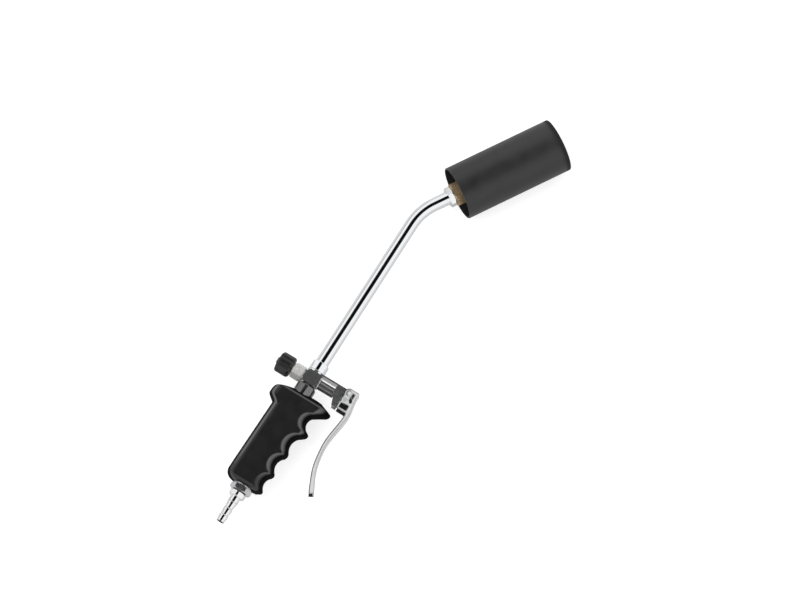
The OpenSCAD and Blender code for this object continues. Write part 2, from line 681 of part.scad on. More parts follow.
module needle_stem() color("gainsboro") translate([valve_x, 0, 0]) along_y() difference() {
  seat = orifice_y + orifice_len;
  tip_r = orifice_r - fit_gap;
  rotate_extrude() polygon([[0, seat - 0.6], [tip_r - 0.45, seat - 0.6], [tip_r + 1.05, seat + 1.4],
                            [tip_r + 1.05, gland_y - 2.6], [stem_r, gland_y - 2.2], [stem_r, knob_end - 2.2], [0, knob_end - 2.2]]);
  translate([0, 0, knob_end - 6.2]) cylinder(r = 1.5 + fit_gap, h = 6);
}

module gland_nut() color([0.75, 0.74, 0.70]) translate([valve_x, gland_y, 0]) along_y() difference() {
  union() {
    hex_nut(gland_af, gland_len, stem_r + fit_gap);
    translate([0, 0, -gland_spigot_len]) cylinder(r = gland_spigot_r, h = gland_spigot_len + 1);
  }
  translate([0, 0, -5]) cylinder(r = stem_r + fit_gap, h = gland_len + 10);
  translate([0, 0, 1]) cylinder(r = packing_r + fit_gap, h = packing_len + 0.1);
}

module gland_washer() color("silver")
  translate([valve_x, block_half_y, 0]) along_y()
    ring(gland_spigot_r + 1.3, gland_spigot_r + fit_gap, seal_washer_t);

module stem_packing() color("white")
  translate([valve_x, gland_y + 1.05, 0]) along_y() ring(packing_r, stem_r + fit_gap, packing_len);

// ---- Lance ----

nut_x = outlet_x + 0.1;
olive_x = outlet_end + 0.1;
nut_lip = 1.6;
module lance_nut() color("silver") translate([nut_x, 0, 0]) along_x() difference() {
  rotate([0, 0, 30]) hex_nut(lance_nut_af, lance_nut_len, lance_r + 2 * fit_gap, lance_nut_turned_r);
  translate([0, 0, -1]) cylinder(r = outlet_r + fit_gap, h = lance_nut_len - nut_lip + 1);
}

module lance_olive() color("goldenrod")
  translate([olive_x, 0, 0]) along_x()
    ring(outlet_r - 0.1, lance_r + fit_gap, nut_x + lance_nut_len - nut_lip - olive_x - 0.1);

// The bend's wall is a hair thinner, so that its ends sit inside the straight walls
lance_joint = 0.02;
module lance_tube() color("silver") {
  straight_len = knee_x - bend_run - lance_x - 0.2;
  translate([lance_x + 0.2, 0, 0]) along_x() ring(lance_r, lance_r - lance_wall, straight_len + 0.1);
  translate([knee_x - bend_run, -bend_r, 0]) rotate([0, 0, 90 - bend_angle])
    rotate_extrude(angle = bend_angle) translate([bend_r, 0]) difference() {
      circle(r = lance_r - lance_joint);
      circle(r = lance_r - lance_wall + lance_joint);
    }
  at_head() translate([bend_run - 0.1, 0, 0]) along_x()
    ring(lance_r, lance_r - lance_wall, lance_end - bend_run + 0.1);
}

// ---- Burner ----

module head_nut() color("silver") at_head()
  translate([head_nut_s, 0, 0]) along_x()
    rotate([0, 0, 30]) hex_nut(head_nut_af, head_nut_len, lance_r + fit_gap);

module injector_holder() color("goldenrod") at_head() translate([holder_s, 0, 0]) along_x() difference() {
  union() {
    hex_nut(holder_af, holder_len, 2);
    translate([0, 0, holder_len - 1]) cylinder(r = nose_r, h = nose_len + 1);
  }
  translate([0, 0, -1]) cylinder(r = lance_r + fit_gap, h = lance_end - holder_s + 1.1);
  cylinder(r = 2.5, h = holder_len + nose_len + 1);
  translate([0, 0, holder_len + nose_len - 5]) cylinder(r = 4 + fit_gap, h = 6);
}

module gas_jet() color("goldenrod") at_head() translate([jet_s, 0, 0]) along_x() difference() {
  union() {
    translate([0, 0, -4.8]) cylinder(r = 4, h = 5);
    translate([0, 0, 0.05]) hex_prism(9, 4);
    translate([0, 0, 3.5]) cylinder(r1 = 4, r2 = 2.2, h = 4.5);
  }
  translate([0, 0, -6]) cylinder(r = 2, h = 11);
  cylinder(r = jet_orifice_r, h = 10);
}

tab_len = 11;
module bell_spider() color([0.35, 0.35, 0.36]) at_head() translate([nose_s, 0, 0]) along_x() {
  ring(12, nose_r + fit_gap, spider_t);
  intersection() {
    ring(bell_in - fit_gap, 11, spider_t);
    for (i = [0:spider_arms - 1]) rotate([0, 0, i * 360 / spider_arms])
      translate([0, -arm_w / 2, 0]) cube([bell_r, arm_w, spider_t]);
  }
  intersection() {
    ring(bell_in - fit_gap, bell_in - fit_gap - spider_t, tab_len);
    for (i = [0:spider_arms - 1]) rotate([0, 0, i * 360 / spider_arms])
      translate([0, -arm_w / 2, 0]) cube([bell_r, arm_w, tab_len]);
  }
}

module spider_nut() color("goldenrod") at_head()
  translate([nose_s + spider_t, 0, 0]) along_x() hex_nut(17.5, spider_nut_len, nose_r + fit_gap);

// Disc that steadies the flame, with a turned rim that meets the bell
module flame_disc() color([0.35, 0.35, 0.36]) at_head() translate([disc_s, 0, 0]) along_x() difference() {
  union() {
    cylinder(r = bell_in - fit_gap, h = 1.5);
    ring(bell_in - fit_gap, bell_in - fit_gap - 1.5, 7);
  }
  translate([0, 0, -1]) cylinder(r = 8, h = 4);
  for (i = [0:disc_holes - 1]) rotate([0, 0, i * 360 / disc_holes])
    translate([16, 0, -1]) cylinder(r = 3, h = 4);
}

module burner_bell() color([0.24, 0.24, 0.25]) at_head()
  translate([bell_setback, 0, 0]) along_x() ring(bell_r, bell_in, bell_len);

hose_tail();
tail_washer();
grip_locknut();
grip_washer();
gas_pipe();
grip();
valve_body();
valve_seat();
valve_seal();
plunger_rod();
plunger_spring();
rod_oring();
plunger_housing();
housing_washer();
lever_bracket();
pivot_pin();
pivot_clip();
push_pin();
trigger_lever();
control_knob();
knob_screw();
needle_stem();
gland_nut();
gland_washer();
stem_packing();
lance_nut();
lance_olive();
lance_tube();
head_nut();
injector_holder();
gas_jet();
bell_spider();
spider_nut();
flame_disc();
burner_bell();
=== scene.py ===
"""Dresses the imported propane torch: softened edges, finishes, studio and camera.

Sizes are in millimetres in the row frame and become metres when a mesh is made.
"""

from __future__ import annotations

import json
import logging
import math
from dataclasses import dataclass
from enum import Enum
from typing import Iterable, Sequence

import bmesh
import bpy
import numpy as np
from mathutils import Matrix, Vector

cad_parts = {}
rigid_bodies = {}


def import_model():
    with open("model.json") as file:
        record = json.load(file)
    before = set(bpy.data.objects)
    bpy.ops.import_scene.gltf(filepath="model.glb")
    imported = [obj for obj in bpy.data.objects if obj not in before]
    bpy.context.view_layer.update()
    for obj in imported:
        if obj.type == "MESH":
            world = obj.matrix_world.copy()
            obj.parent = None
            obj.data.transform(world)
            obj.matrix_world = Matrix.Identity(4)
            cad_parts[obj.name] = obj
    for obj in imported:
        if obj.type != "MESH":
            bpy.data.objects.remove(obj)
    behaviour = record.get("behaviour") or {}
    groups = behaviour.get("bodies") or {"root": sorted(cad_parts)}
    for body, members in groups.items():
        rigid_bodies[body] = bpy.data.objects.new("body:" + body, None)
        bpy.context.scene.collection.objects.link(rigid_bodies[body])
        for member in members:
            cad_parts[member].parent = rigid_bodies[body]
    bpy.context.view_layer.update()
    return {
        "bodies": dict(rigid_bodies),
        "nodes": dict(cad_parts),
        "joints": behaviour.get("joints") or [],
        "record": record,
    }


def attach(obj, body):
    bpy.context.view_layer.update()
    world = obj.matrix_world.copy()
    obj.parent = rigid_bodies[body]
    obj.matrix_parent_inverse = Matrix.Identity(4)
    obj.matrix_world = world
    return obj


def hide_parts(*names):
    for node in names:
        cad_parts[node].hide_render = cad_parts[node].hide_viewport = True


MM = 0.001
LOG = logging.getLogger("torch")

Point = tuple[float, float, float]
Colour = tuple[float, float, float]
Face = tuple[int, ...]


# ---------------------------------------------------------------- node trees


class Tree:
    """A thin wrapper that adds and joins nodes in one node tree."""

    def __init__(self, tree: bpy.types.NodeTree) -> None:
        """Keeps the tree to add to."""
        self.tree = tree

    def add(self, kind: str, **settings: object) -> bpy.types.Node:
        """Adds a node.

        Args:
            kind: The node's Blender type.
            **settings: Attributes to set on it.

        Returns:
            The new node.
        """
        node = self.tree.nodes.new(kind)
        for key, value in settings.items():
            setattr(node, key, value)
        return node

    def join(self, source: bpy.types.NodeSocket, target: bpy.types.NodeSocket) -> None:
        """Links one socket to another."""
        self.tree.links.new(source, target)

    def math(self, operation: str, *values: object) -> bpy.types.NodeSocket:
        """Adds a Math node.

        Args:
            operation: The operation's name.
            *values: Numbers, or sockets to link.

        Returns:
            The result's socket.
        """
        node = self.add("ShaderNodeMath", operation=operation)
        for socket, value in zip(node.inputs, values):
            if isinstance(value, bpy.types.NodeSocket):
                self.join(value, socket)
            else:
                socket.default_value = value
        return node.outputs[0]

    def ramp(self, source: bpy.types.NodeSocket, *ends: object) -> bpy.types.NodeSocket:
        """Maps a value from one range to another and clamps it.

        Args:
            source: The value.
            *ends: From min, from max, to min and to max, as numbers or sockets.

        Returns:
            The mapped value's socket.
        """
        node = self.add("ShaderNodeMapRange")
        self.join(source, node.inputs["Value"])
        for name, value in zip(("From Min", "From Max", "To Min", "To Max"), ends):
            if isinstance(value, bpy.types.NodeSocket):
                self.join(value, node.inputs[name])
            else:
                node.inputs[name].default_value = value
        return node.outputs["Result"]

    def blend(self, factor: object, first: object, second: object) -> bpy.types.NodeSocket:
        """Mixes two colours.

        Args:
            factor: The second colour's share, as a number or a socket.
            first: A colour or a socket.
            second: A colour or a socket.

        Returns:
            The mixed colour's socket.
        """
        node = self.add("ShaderNodeMix", data_type="RGBA")
        for index, value in ((0, factor), (6, first), (7, second)):
            if isinstance(value, bpy.types.NodeSocket):
                self.join(value, node.inputs[index])
            elif index == 0:
                node.inputs[index].default_value = value
            else:
                node.inputs[index].default_value = (*value, 1.0)
        return node.outputs[2]


class Effects:
    """The shared surface effects, each a node group that is built once."""

    def __init__(self) -> None:
        """Starts with no group built."""
        self.built: dict[str, bpy.types.NodeTree] = {}

    def group(self, name: str, inputs: dict[str, float], output: str) -> tuple[Tree, object, object]:
        """Starts a node group.

        Args:
            name: The group's name.
            inputs: Each input's name and usual value.
            output: The output's name.

        Returns:
            The tree, its input node and its output node.
        """
        made = bpy.data.node_groups.new(name, "ShaderNodeTree")
        for key, value in inputs.items():
            socket = made.interface.new_socket(key, in_out="INPUT", socket_type="NodeSocketFloat")
            socket.default_value = value
        made.interface.new_socket(output, in_out="OUTPUT", socket_type="NodeSocketFloat")
        tree = Tree(made)
        self.built[name] = made
        return tree, tree.add("NodeGroupInput"), tree.add("NodeGroupOutput")

    def mottle(self) -> bpy.types.NodeTree:
        """Soft cloudy change over the surface, from 0 to 1."""
        if "Mottle" not in self.built:
            tree, start, end = self.group("Mottle", {"Scale": 60.0, "Contrast": 0.25}, "Mask")
            place = tree.add("ShaderNodeTexCoord")
            noise = tree.add("ShaderNodeTexNoise")
            noise.inputs["Detail"].default_value = 5.0
            tree.join(place.outputs["Object"], noise.inputs["Vector"])
            tree.join(start.outputs["Scale"], noise.inputs["Scale"])
            low = tree.math("SUBTRACT", 0.5, start.outputs["Contrast"])
            high = tree.math("ADD", 0.5, start.outputs["Contrast"])
            tree.join(tree.ramp(noise.outputs[0], low, high, 0.0, 1.0), end.inputs[0])
        return self.built["Mottle"]

    def grain(self) -> bpy.types.NodeTree:
        """Fine raised grain, as on moulded plastic, cast metal or sprayed paint."""
        if "Grain" not in self.built:
            tree, start, end = self.group("Grain", {"Scale": 900.0}, "Height")
            place = tree.add("ShaderNodeTexCoord")
            cells = tree.add("ShaderNodeTexVoronoi", feature="SMOOTH_F1")
            noise = tree.add("ShaderNodeTexNoise")
            for texture in (cells, noise):
                tree.join(place.outputs["Object"], texture.inputs["Vector"])
                tree.join(start.outputs["Scale"], texture.inputs["Scale"])
            tree.join(tree.math("ADD", cells.outputs["Distance"], noise.outputs[0]), end.inputs[0])
        return self.built["Grain"]

    def brushing(self) -> bpy.types.NodeTree:
        """Hairline polishing marks that run along X."""
        if "Brushing" not in self.built:
            tree, start, end = self.group("Brushing", {"Scale": 500.0}, "Height")
            place = tree.add("ShaderNodeTexCoord")
            turn = tree.add("ShaderNodeMapping")
            turn.inputs["Scale"].default_value = (0.06, 1.0, 1.0)
            noise = tree.add("ShaderNodeTexNoise")
            noise.inputs["Detail"].default_value = 3.0
            tree.join(place.outputs["Object"], turn.inputs["Vector"])
            tree.join(turn.outputs["Vector"], noise.inputs["Vector"])
            tree.join(start.outputs["Scale"], noise.inputs["Scale"])
            tree.join(noise.outputs[0], end.inputs[0])
        return self.built["Brushing"]

    def edge_wear_and_highlight(self) -> bpy.types.NodeTree:
        """Sharp edges for wear, and on the bracket plate for a painted highlight: 1 on sharp edges, 0 on
        faces, broken up by noise.
        """
        if "Edge wear and highlight" not in self.built:
            tree, start, end = self.group("Edge wear and highlight", {"Radius": 0.0006, "Amount": 0.6}, "Mask")
            edge = tree.add("ShaderNodeBevel", samples=6)
            tree.join(start.outputs["Radius"], edge.inputs["Radius"])
            shape = tree.add("ShaderNodeNewGeometry")
            facing = tree.add("ShaderNodeVectorMath", operation="DOT_PRODUCT")
            tree.join(edge.outputs[0], facing.inputs[0])
            tree.join(shape.outputs["Normal"], facing.inputs[1])
            sharp = tree.ramp(facing.outputs["Value"], 0.99, 0.86, 0.0, 1.0)
            place = tree.add("ShaderNodeTexCoord")
            noise = tree.add("ShaderNodeTexNoise")
            noise.inputs["Scale"].default_value = 260.0
            noise.inputs["Detail"].default_value = 4.0
            tree.join(place.outputs["Object"], noise.inputs["Vector"])
            broken = tree.ramp(noise.outputs[0], 0.35, 0.6, 0.25, 1.0)
            wear_and_highlight = tree.math("MULTIPLY", sharp, broken)
            tree.join(tree.math("MULTIPLY", wear_and_highlight, start.outputs["Amount"]), end.inputs[0])
        return self.built["Edge wear and highlight"]

    def edge_shade_lines(self) -> bpy.types.NodeTree:
        """Painted shade lines along edges: 1 on sharp edges that face +Y, less on the others, 0 on faces."""
        if "Painted edge shade" not in self.built:
            tree, start, end = self.group("Painted edge shade", {"Radius": 0.0026, "Others": 0.35}, "Mask")
            edge = tree.add("ShaderNodeBevel", samples=8)
            tree.join(start.outputs["Radius"], edge.inputs["Radius"])
            shape = tree.add("ShaderNodeNewGeometry")
            facing = tree.add("ShaderNodeVectorMath", operation="DOT_PRODUCT")
            tree.join(edge.outputs[0], facing.inputs[0])
            tree.join(shape.outputs["Normal"], facing.inputs[1])
            sharp = tree.ramp(facing.outputs["Value"], 0.995, 0.93, 0.0, 1.0)
            split = tree.add("ShaderNodeSeparateXYZ")
            tree.join(edge.outputs[0], split.inputs[0])
            side = tree.ramp(split.outputs["Y"], -0.15, 0.15, start.outputs["Others"], 1.0)
            tree.join(tree.math("MULTIPLY", sharp, side), end.inputs[0])
        return self.built["Painted edge shade"]


class Relief(Enum):
    """What the fine relief on a finish is."""

    GRAIN = "grain"
    BRUSHING = "brushing"


@dataclass(frozen=True)
class Finish:
    """One finish and how it varies over the surface.

    Attributes:
        slot: The record's material slot.
        base: Main colour.
        second: Colour that the mottling leads to.
        metallic: 1 for bare metal.
        roughness: Roughness at its smoothest.
        spread: How much rougher the mottling makes it.
        mottle_scale: Clouds per metre.
        relief: Kind of fine relief.
        relief_scale: Grains per metre.
        relief_height: Height of the relief in metres.
        wear_and_highlight_share: Share of the edges that is worn, and on the bracket plate painted with a
            highlight.
        wear_and_highlight: Colour of a worn edge, and on the bracket plate of a painted edge highlight.
        specular: Level of the plain gloss.
        coat: Weight of a clear coat.
    """

    slot: str
    base: Colour
    second: Colour
    metallic: float
    roughness: float
    spread: float
    mottle_scale: float = 60.0
    relief: Relief = Relief.GRAIN
    relief_scale: float = 900.0
    relief_height: float = 0.00002
    wear_and_highlight_share: float = 0.0
    wear_and_highlight: Colour = (0.5, 0.5, 0.5)
    specular: float = 0.5
    coat: float = 0.0

    def material(self, effects: Effects) -> bpy.types.Material:
        """Builds the material.

        Args:
            effects: The shared effects.

        Returns:
            The finished material.
        """
        made = bpy.data.materials.new(self.slot)
        made.use_nodes = True
        tree = Tree(made.node_tree)
        shader = made.node_tree.nodes["Principled BSDF"]
        shader.inputs["Metallic"].default_value = self.metallic
        shader.inputs["Specular IOR Level"].default_value = self.specular
        shader.inputs["Coat Weight"].default_value = self.coat
        shader.inputs["Coat Roughness"].default_value = 0.12
        cloud = tree.add("ShaderNodeGroup", node_tree=effects.mottle())
        cloud.inputs["Scale"].default_value = self.mottle_scale
        colour = tree.blend(cloud.outputs[0], self.base, self.second)
        colour = self.shade(tree, colour, effects)
        # Worn edges, and on the bracket plate painted edge highlights.
        if self.wear_and_highlight_share > 0:
            edge = tree.add("ShaderNodeGroup", node_tree=effects.edge_wear_and_highlight())
            edge.inputs["Amount"].default_value = self.wear_and_highlight_share
            colour = tree.blend(edge.outputs[0], colour, self.wear_and_highlight)
        tree.join(colour, shader.inputs["Base Color"])
        rough = tree.ramp(cloud.outputs[0], 0.0, 1.0, self.roughness, self.roughness + self.spread)
        tree.join(self.dull(tree, rough), shader.inputs["Roughness"])
        metal = self.metal(tree)
        if metal is not None:
            tree.join(metal, shader.inputs["Metallic"])
        kind = effects.grain() if self.relief is Relief.GRAIN else effects.brushing()
        fine = tree.add("ShaderNodeGroup", node_tree=kind)
        fine.inputs["Scale"].default_value = self.relief_scale
        bump = tree.add("ShaderNodeBump")
        bump.inputs["Distance"].default_value = self.relief_height
        tree.join(fine.outputs[0], bump.inputs["Height"])
        tree.join(bump.outputs[0], shader.inputs["Normal"])
        return made

    def shade(self, tree: Tree, colour: bpy.types.NodeSocket, effects: Effects) -> bpy.types.NodeSocket:
        """Adds nothing: a plain finish has one colour and its mottling."""
        return colour

    def dull(self, tree: Tree, rough: bpy.types.NodeSocket) -> bpy.types.NodeSocket:
        """Adds nothing: a plain finish is as rough as its mottling says."""
        return rough

    def metal(self, tree: Tree) -> bpy.types.NodeSocket | None:
        """Adds nothing: a plain finish is as metallic all over."""
        return None


@dataclass(frozen=True)
class HandledFinish(Finish):
    """A moulded finish with a pale band along its rounded edges, partly wear from hands and partly a painted
    sheen.

    The piece carries two attributes. One, "edge", runs from 0 at its outline to
    1 where the rounding meets the flat panel. The other, "rub", says how strong
    the pale band of wear and painted sheen is there.

    Attributes:
        wear_and_sheen: Colour of the pale band, partly wear and partly painted sheen.
        rim: Shares of the edge between which the band starts.
        panel: Shares of the edge between which it stops.
        rim_roughness: Roughness at the outline.
    """

    wear_and_sheen: Colour = (0.1, 0.1, 0.104)
    rim: tuple[float, float] = (0.36, 0.7)
    panel: tuple[float, float] = (0.86, 0.99)
    rim_roughness: float = 0.95

    @staticmethod
    def read(tree: Tree, name: str) -> bpy.types.NodeSocket:
        """Reads one of the piece's attributes."""
        return tree.add("ShaderNodeAttribute", attribute_name=name).outputs["Fac"]

    def shade(self, tree: Tree, colour: bpy.types.NodeSocket, effects: Effects) -> bpy.types.NodeSocket:
        """Lays the pale band of wear and painted sheen between the rim and the panel.

        Args:
            tree: The material's nodes.
            colour: The colour so far.
            effects: The shared effects; not used here.

        Returns:
            The colour's socket, with the band laid on.
        """
        edge = self.read(tree, "edge")
        inner = tree.ramp(edge, *self.panel, 1.0, 0.0)
        outer = tree.ramp(edge, *self.rim, 0.0, 1.0)
        # The pale band is partly wear and partly a painted sheen.
        share = tree.math("MULTIPLY", tree.math("MULTIPLY", inner, outer), self.read(tree, "wear_and_sheen_reach"))
        return tree.blend(share, colour, self.wear_and_sheen)

    def dull(self, tree: Tree, rough: bpy.types.NodeSocket) -> bpy.types.NodeSocket:
        """Makes the rim rougher.

        Args:
            tree: The material's nodes.
            rough: The roughness so far.

        Returns:
            The roughness's socket.
        """
        edge = tree.ramp(self.read(tree, "edge"), *self.rim, self.rim_roughness, 0.0)
        return tree.math("MAXIMUM", rough, edge)

    def metal(self, tree: Tree) -> bpy.types.NodeSocket:
        """Takes the plain gloss off the rim, which is as dark as its base there: a painted shade along the
        outline.

        Args:
            tree: The material's nodes.

        Returns:
            The metallic value's socket.
        """
        # Painted shade: the rim loses its gloss and shows its dark base.
        return tree.ramp(self.read(tree, "edge"), *self.rim, 0.9, 0.0)


@dataclass(frozen=True)
class FoldedFinish(Finish):
    """A bright plate folded into a channel, with dull painted shade inside the channel and painted shade
    lines along its edges.

    The piece carries an attribute, "inside", that is 1 on the faces that look
    into the channel and on the walls of its openings, where the shade is painted.

    Attributes:
        channel_shade: Colour of the painted shade inside the channel.
        cut: Colour of the painted shade lines along the edges.
    """

    channel_shade: Colour = (0.02, 0.02, 0.02)
    cut: Colour = (0.03, 0.03, 0.03)

    def shade(self, tree: Tree, colour: bpy.types.NodeSocket, effects: Effects) -> bpy.types.NodeSocket:
        """Paints shade along the edges and inside the channel.

        Args:
            tree: The material's nodes.
            colour: The colour so far.
            effects: The shared effects.

        Returns:
            The colour's socket.
        """
        # Painted shade lines along the sharp edges.
        line = tree.add("ShaderNodeGroup", node_tree=effects.edge_shade_lines())
        inside = tree.add("ShaderNodeAttribute", attribute_name="inside").outputs["Fac"]
        # Painted shade inside the channel and on the walls of its openings.
        return tree.blend(inside, tree.blend(line.outputs[0], colour, self.cut), self.channel_shade)

    def dull(self, tree: Tree, rough: bpy.types.NodeSocket) -> bpy.types.NodeSocket:
        """Makes the faces with painted shade rough.

        Args:
            tree: The material's nodes.
            rough: The roughness so far.

        Returns:
            The roughness's socket.
        """
        inside = tree.add("ShaderNodeAttribute", attribute_name="inside").outputs["Fac"]
        return tree.math("MAXIMUM", rough, tree.math("MULTIPLY", inside, 0.8))

    def metal(self, tree: Tree) -> bpy.types.NodeSocket:
        """Takes the metal's shine off the faces with painted shade.

        Args:
            tree: The material's nodes.

        Returns:
            The metallic value's socket.
        """
        inside = tree.add("ShaderNodeAttribute", attribute_name="inside").outputs["Fac"]
        return tree.ramp(inside, 0.0, 1.0, self.metallic, 0.0)


@dataclass(frozen=True)
class BoredFinish(Finish):
    """A bright plate on a piece along X, with painted shade in its bore and on its end face.

    Attributes:
        bore: Radius of the bore in metres.
        end: Where the end face lies along X in metres.
        dark: Colour of the painted shade in both.
    """

    bore: float = 0.0026
    end: float = -0.0276
    dark: Colour = (0.01, 0.01, 0.01)

    def within(self, tree: Tree) -> bpy.types.NodeSocket:
        """1 in the bore and on the end face, where the shade is painted, 0 elsewhere.

        Args:
            tree: The material's nodes.

        Returns:
            The mask's socket.
        """
        split = tree.add("ShaderNodeSeparateXYZ")
        tree.join(tree.add("ShaderNodeTexCoord").outputs["Object"], split.inputs[0])
        across = tree.math("POWER", split.outputs["Y"], 2.0)
        radius = tree.math("SQRT", tree.math("ADD", across, tree.math("POWER", split.outputs["Z"], 2.0)))
        inner = tree.ramp(radius, self.bore + 0.0001, self.bore + 0.0004, 1.0, 0.0)
        tip = tree.ramp(split.outputs["X"], self.end + 0.0001, self.end + 0.0003, 1.0, 0.0)
        return tree.math("MAXIMUM", inner, tip)

    def shade(self, tree: Tree, colour: bpy.types.NodeSocket, effects: Effects) -> bpy.types.NodeSocket:
        """Paints shade into the bore and onto the end face.

        Args:
            tree: The material's nodes.
            colour: The colour so far.
            effects: The shared effects; not used here.

        Returns:
            The colour's socket.
        """
        # Painted shade in the bore and on the end face.
        return tree.blend(self.within(tree), colour, self.dark)

    def metal(self, tree: Tree) -> bpy.types.NodeSocket:
        """Takes the shine off the bore and the end face, where the shade is painted.

        Args:
            tree: The material's nodes.

        Returns:
            The metallic value's socket.
        """
        return tree.ramp(self.within(tree), 0.0, 1.0, self.metallic, 0.0)


@dataclass(frozen=True)
class TurnedFinish(Finish):
    """A dark coating that is glossier on the turned shank than on the block.

    Attributes:
        shank_end: Where the shank ends, along X in metres.
        shank_metallic: How metallic the shank is.
    """

    shank_end: float = 0.1276
    shank_metallic: float = 0.95

    def metal(self, tree: Tree) -> bpy.types.NodeSocket:
        """Gives the shank its own shine.

        Args:
            tree: The material's nodes.

        Returns:
            The metallic value's socket.
        """
        split = tree.add("ShaderNodeSeparateXYZ")
        tree.join(tree.add("ShaderNodeTexCoord").outputs["Object"], split.inputs[0])
        return tree.ramp(split.outputs["X"], self.shank_end, self.shank_end + 0.0002, self.shank_metallic,
                         self.metallic)


@dataclass(frozen=True)
class MouthDarkFinish(Finish):
    """A painted steel that turns darker towards the bell's mouth and on its inner wall.

    Attributes:
        knee: Where the bell's axis meets the straight lance, along X in metres.
        bend: Angle of the bell's axis in degrees.
        clean: Distance along the axis where the darkening begins.
        mouth: Distance along the axis where it is strongest.
        mouth_dark: Colour that it darkens to.
        inner: Radius inside which the darkening covers everything.
    """

    knee: float = 0.3302
    bend: float = 31.3
    clean: float = 0.1425
    mouth: float = 0.1475
    mouth_dark: Colour = (0.006, 0.006, 0.006)
    inner: float = 0.0255

    def darkened_share(self, tree: Tree) -> bpy.types.NodeSocket:
        """How far the darkening has come in, from 0 to 1.

        Args:
            tree: The material's nodes.

        Returns:
            The share's socket.
        """
        place = tree.add("ShaderNodeTexCoord")
        turn = tree.add("ShaderNodeMapping", vector_type="TEXTURE")
        turn.inputs["Location"].default_value = (self.knee, 0.0, 0.0)
        turn.inputs["Rotation"].default_value = (0.0, 0.0, -math.radians(self.bend))
        split = tree.add("ShaderNodeSeparateXYZ")
        tree.join(place.outputs["Object"], turn.inputs["Vector"])
        tree.join(turn.outputs["Vector"], split.inputs[0])
        noise = tree.add("ShaderNodeTexNoise")
        noise.inputs["Scale"].default_value = 90.0
        tree.join(turn.outputs["Vector"], noise.inputs["Vector"])
        along = tree.math("ADD", split.outputs["X"], tree.math("MULTIPLY", noise.outputs[0], 0.0015))
        across = tree.math("POWER", split.outputs["Y"], 2.0)
        radius = tree.math("SQRT", tree.math("ADD", across, tree.math("POWER", split.outputs["Z"], 2.0)))
        inside = tree.ramp(radius, self.inner - 0.0003, self.inner, 1.0, 0.0)
        return tree.math("MAXIMUM", tree.ramp(along, self.clean, self.mouth, 0.0, 1.0), inside)

    def shade(self, tree: Tree, colour: bpy.types.NodeSocket, effects: Effects) -> bpy.types.NodeSocket:
        """Darkens it towards the mouth and on the inner wall.

        Args:
            tree: The material's nodes.
            colour: The colour so far.
            effects: The shared effects; not used here.

        Returns:
            The darkened colour's socket.
        """
        return tree.blend(tree.math("MULTIPLY", self.darkened_share(tree), 0.9), colour, self.mouth_dark)

    def dull(self, tree: Tree, rough: bpy.types.NodeSocket) -> bpy.types.NodeSocket:
        """Makes the darkened part matt.

        Args:
            tree: The material's nodes.
            rough: The roughness so far.

        Returns:
            The roughness's socket.
        """
        return tree.math("MAXIMUM", rough, tree.math("MULTIPLY", self.darkened_share(tree), 0.8))


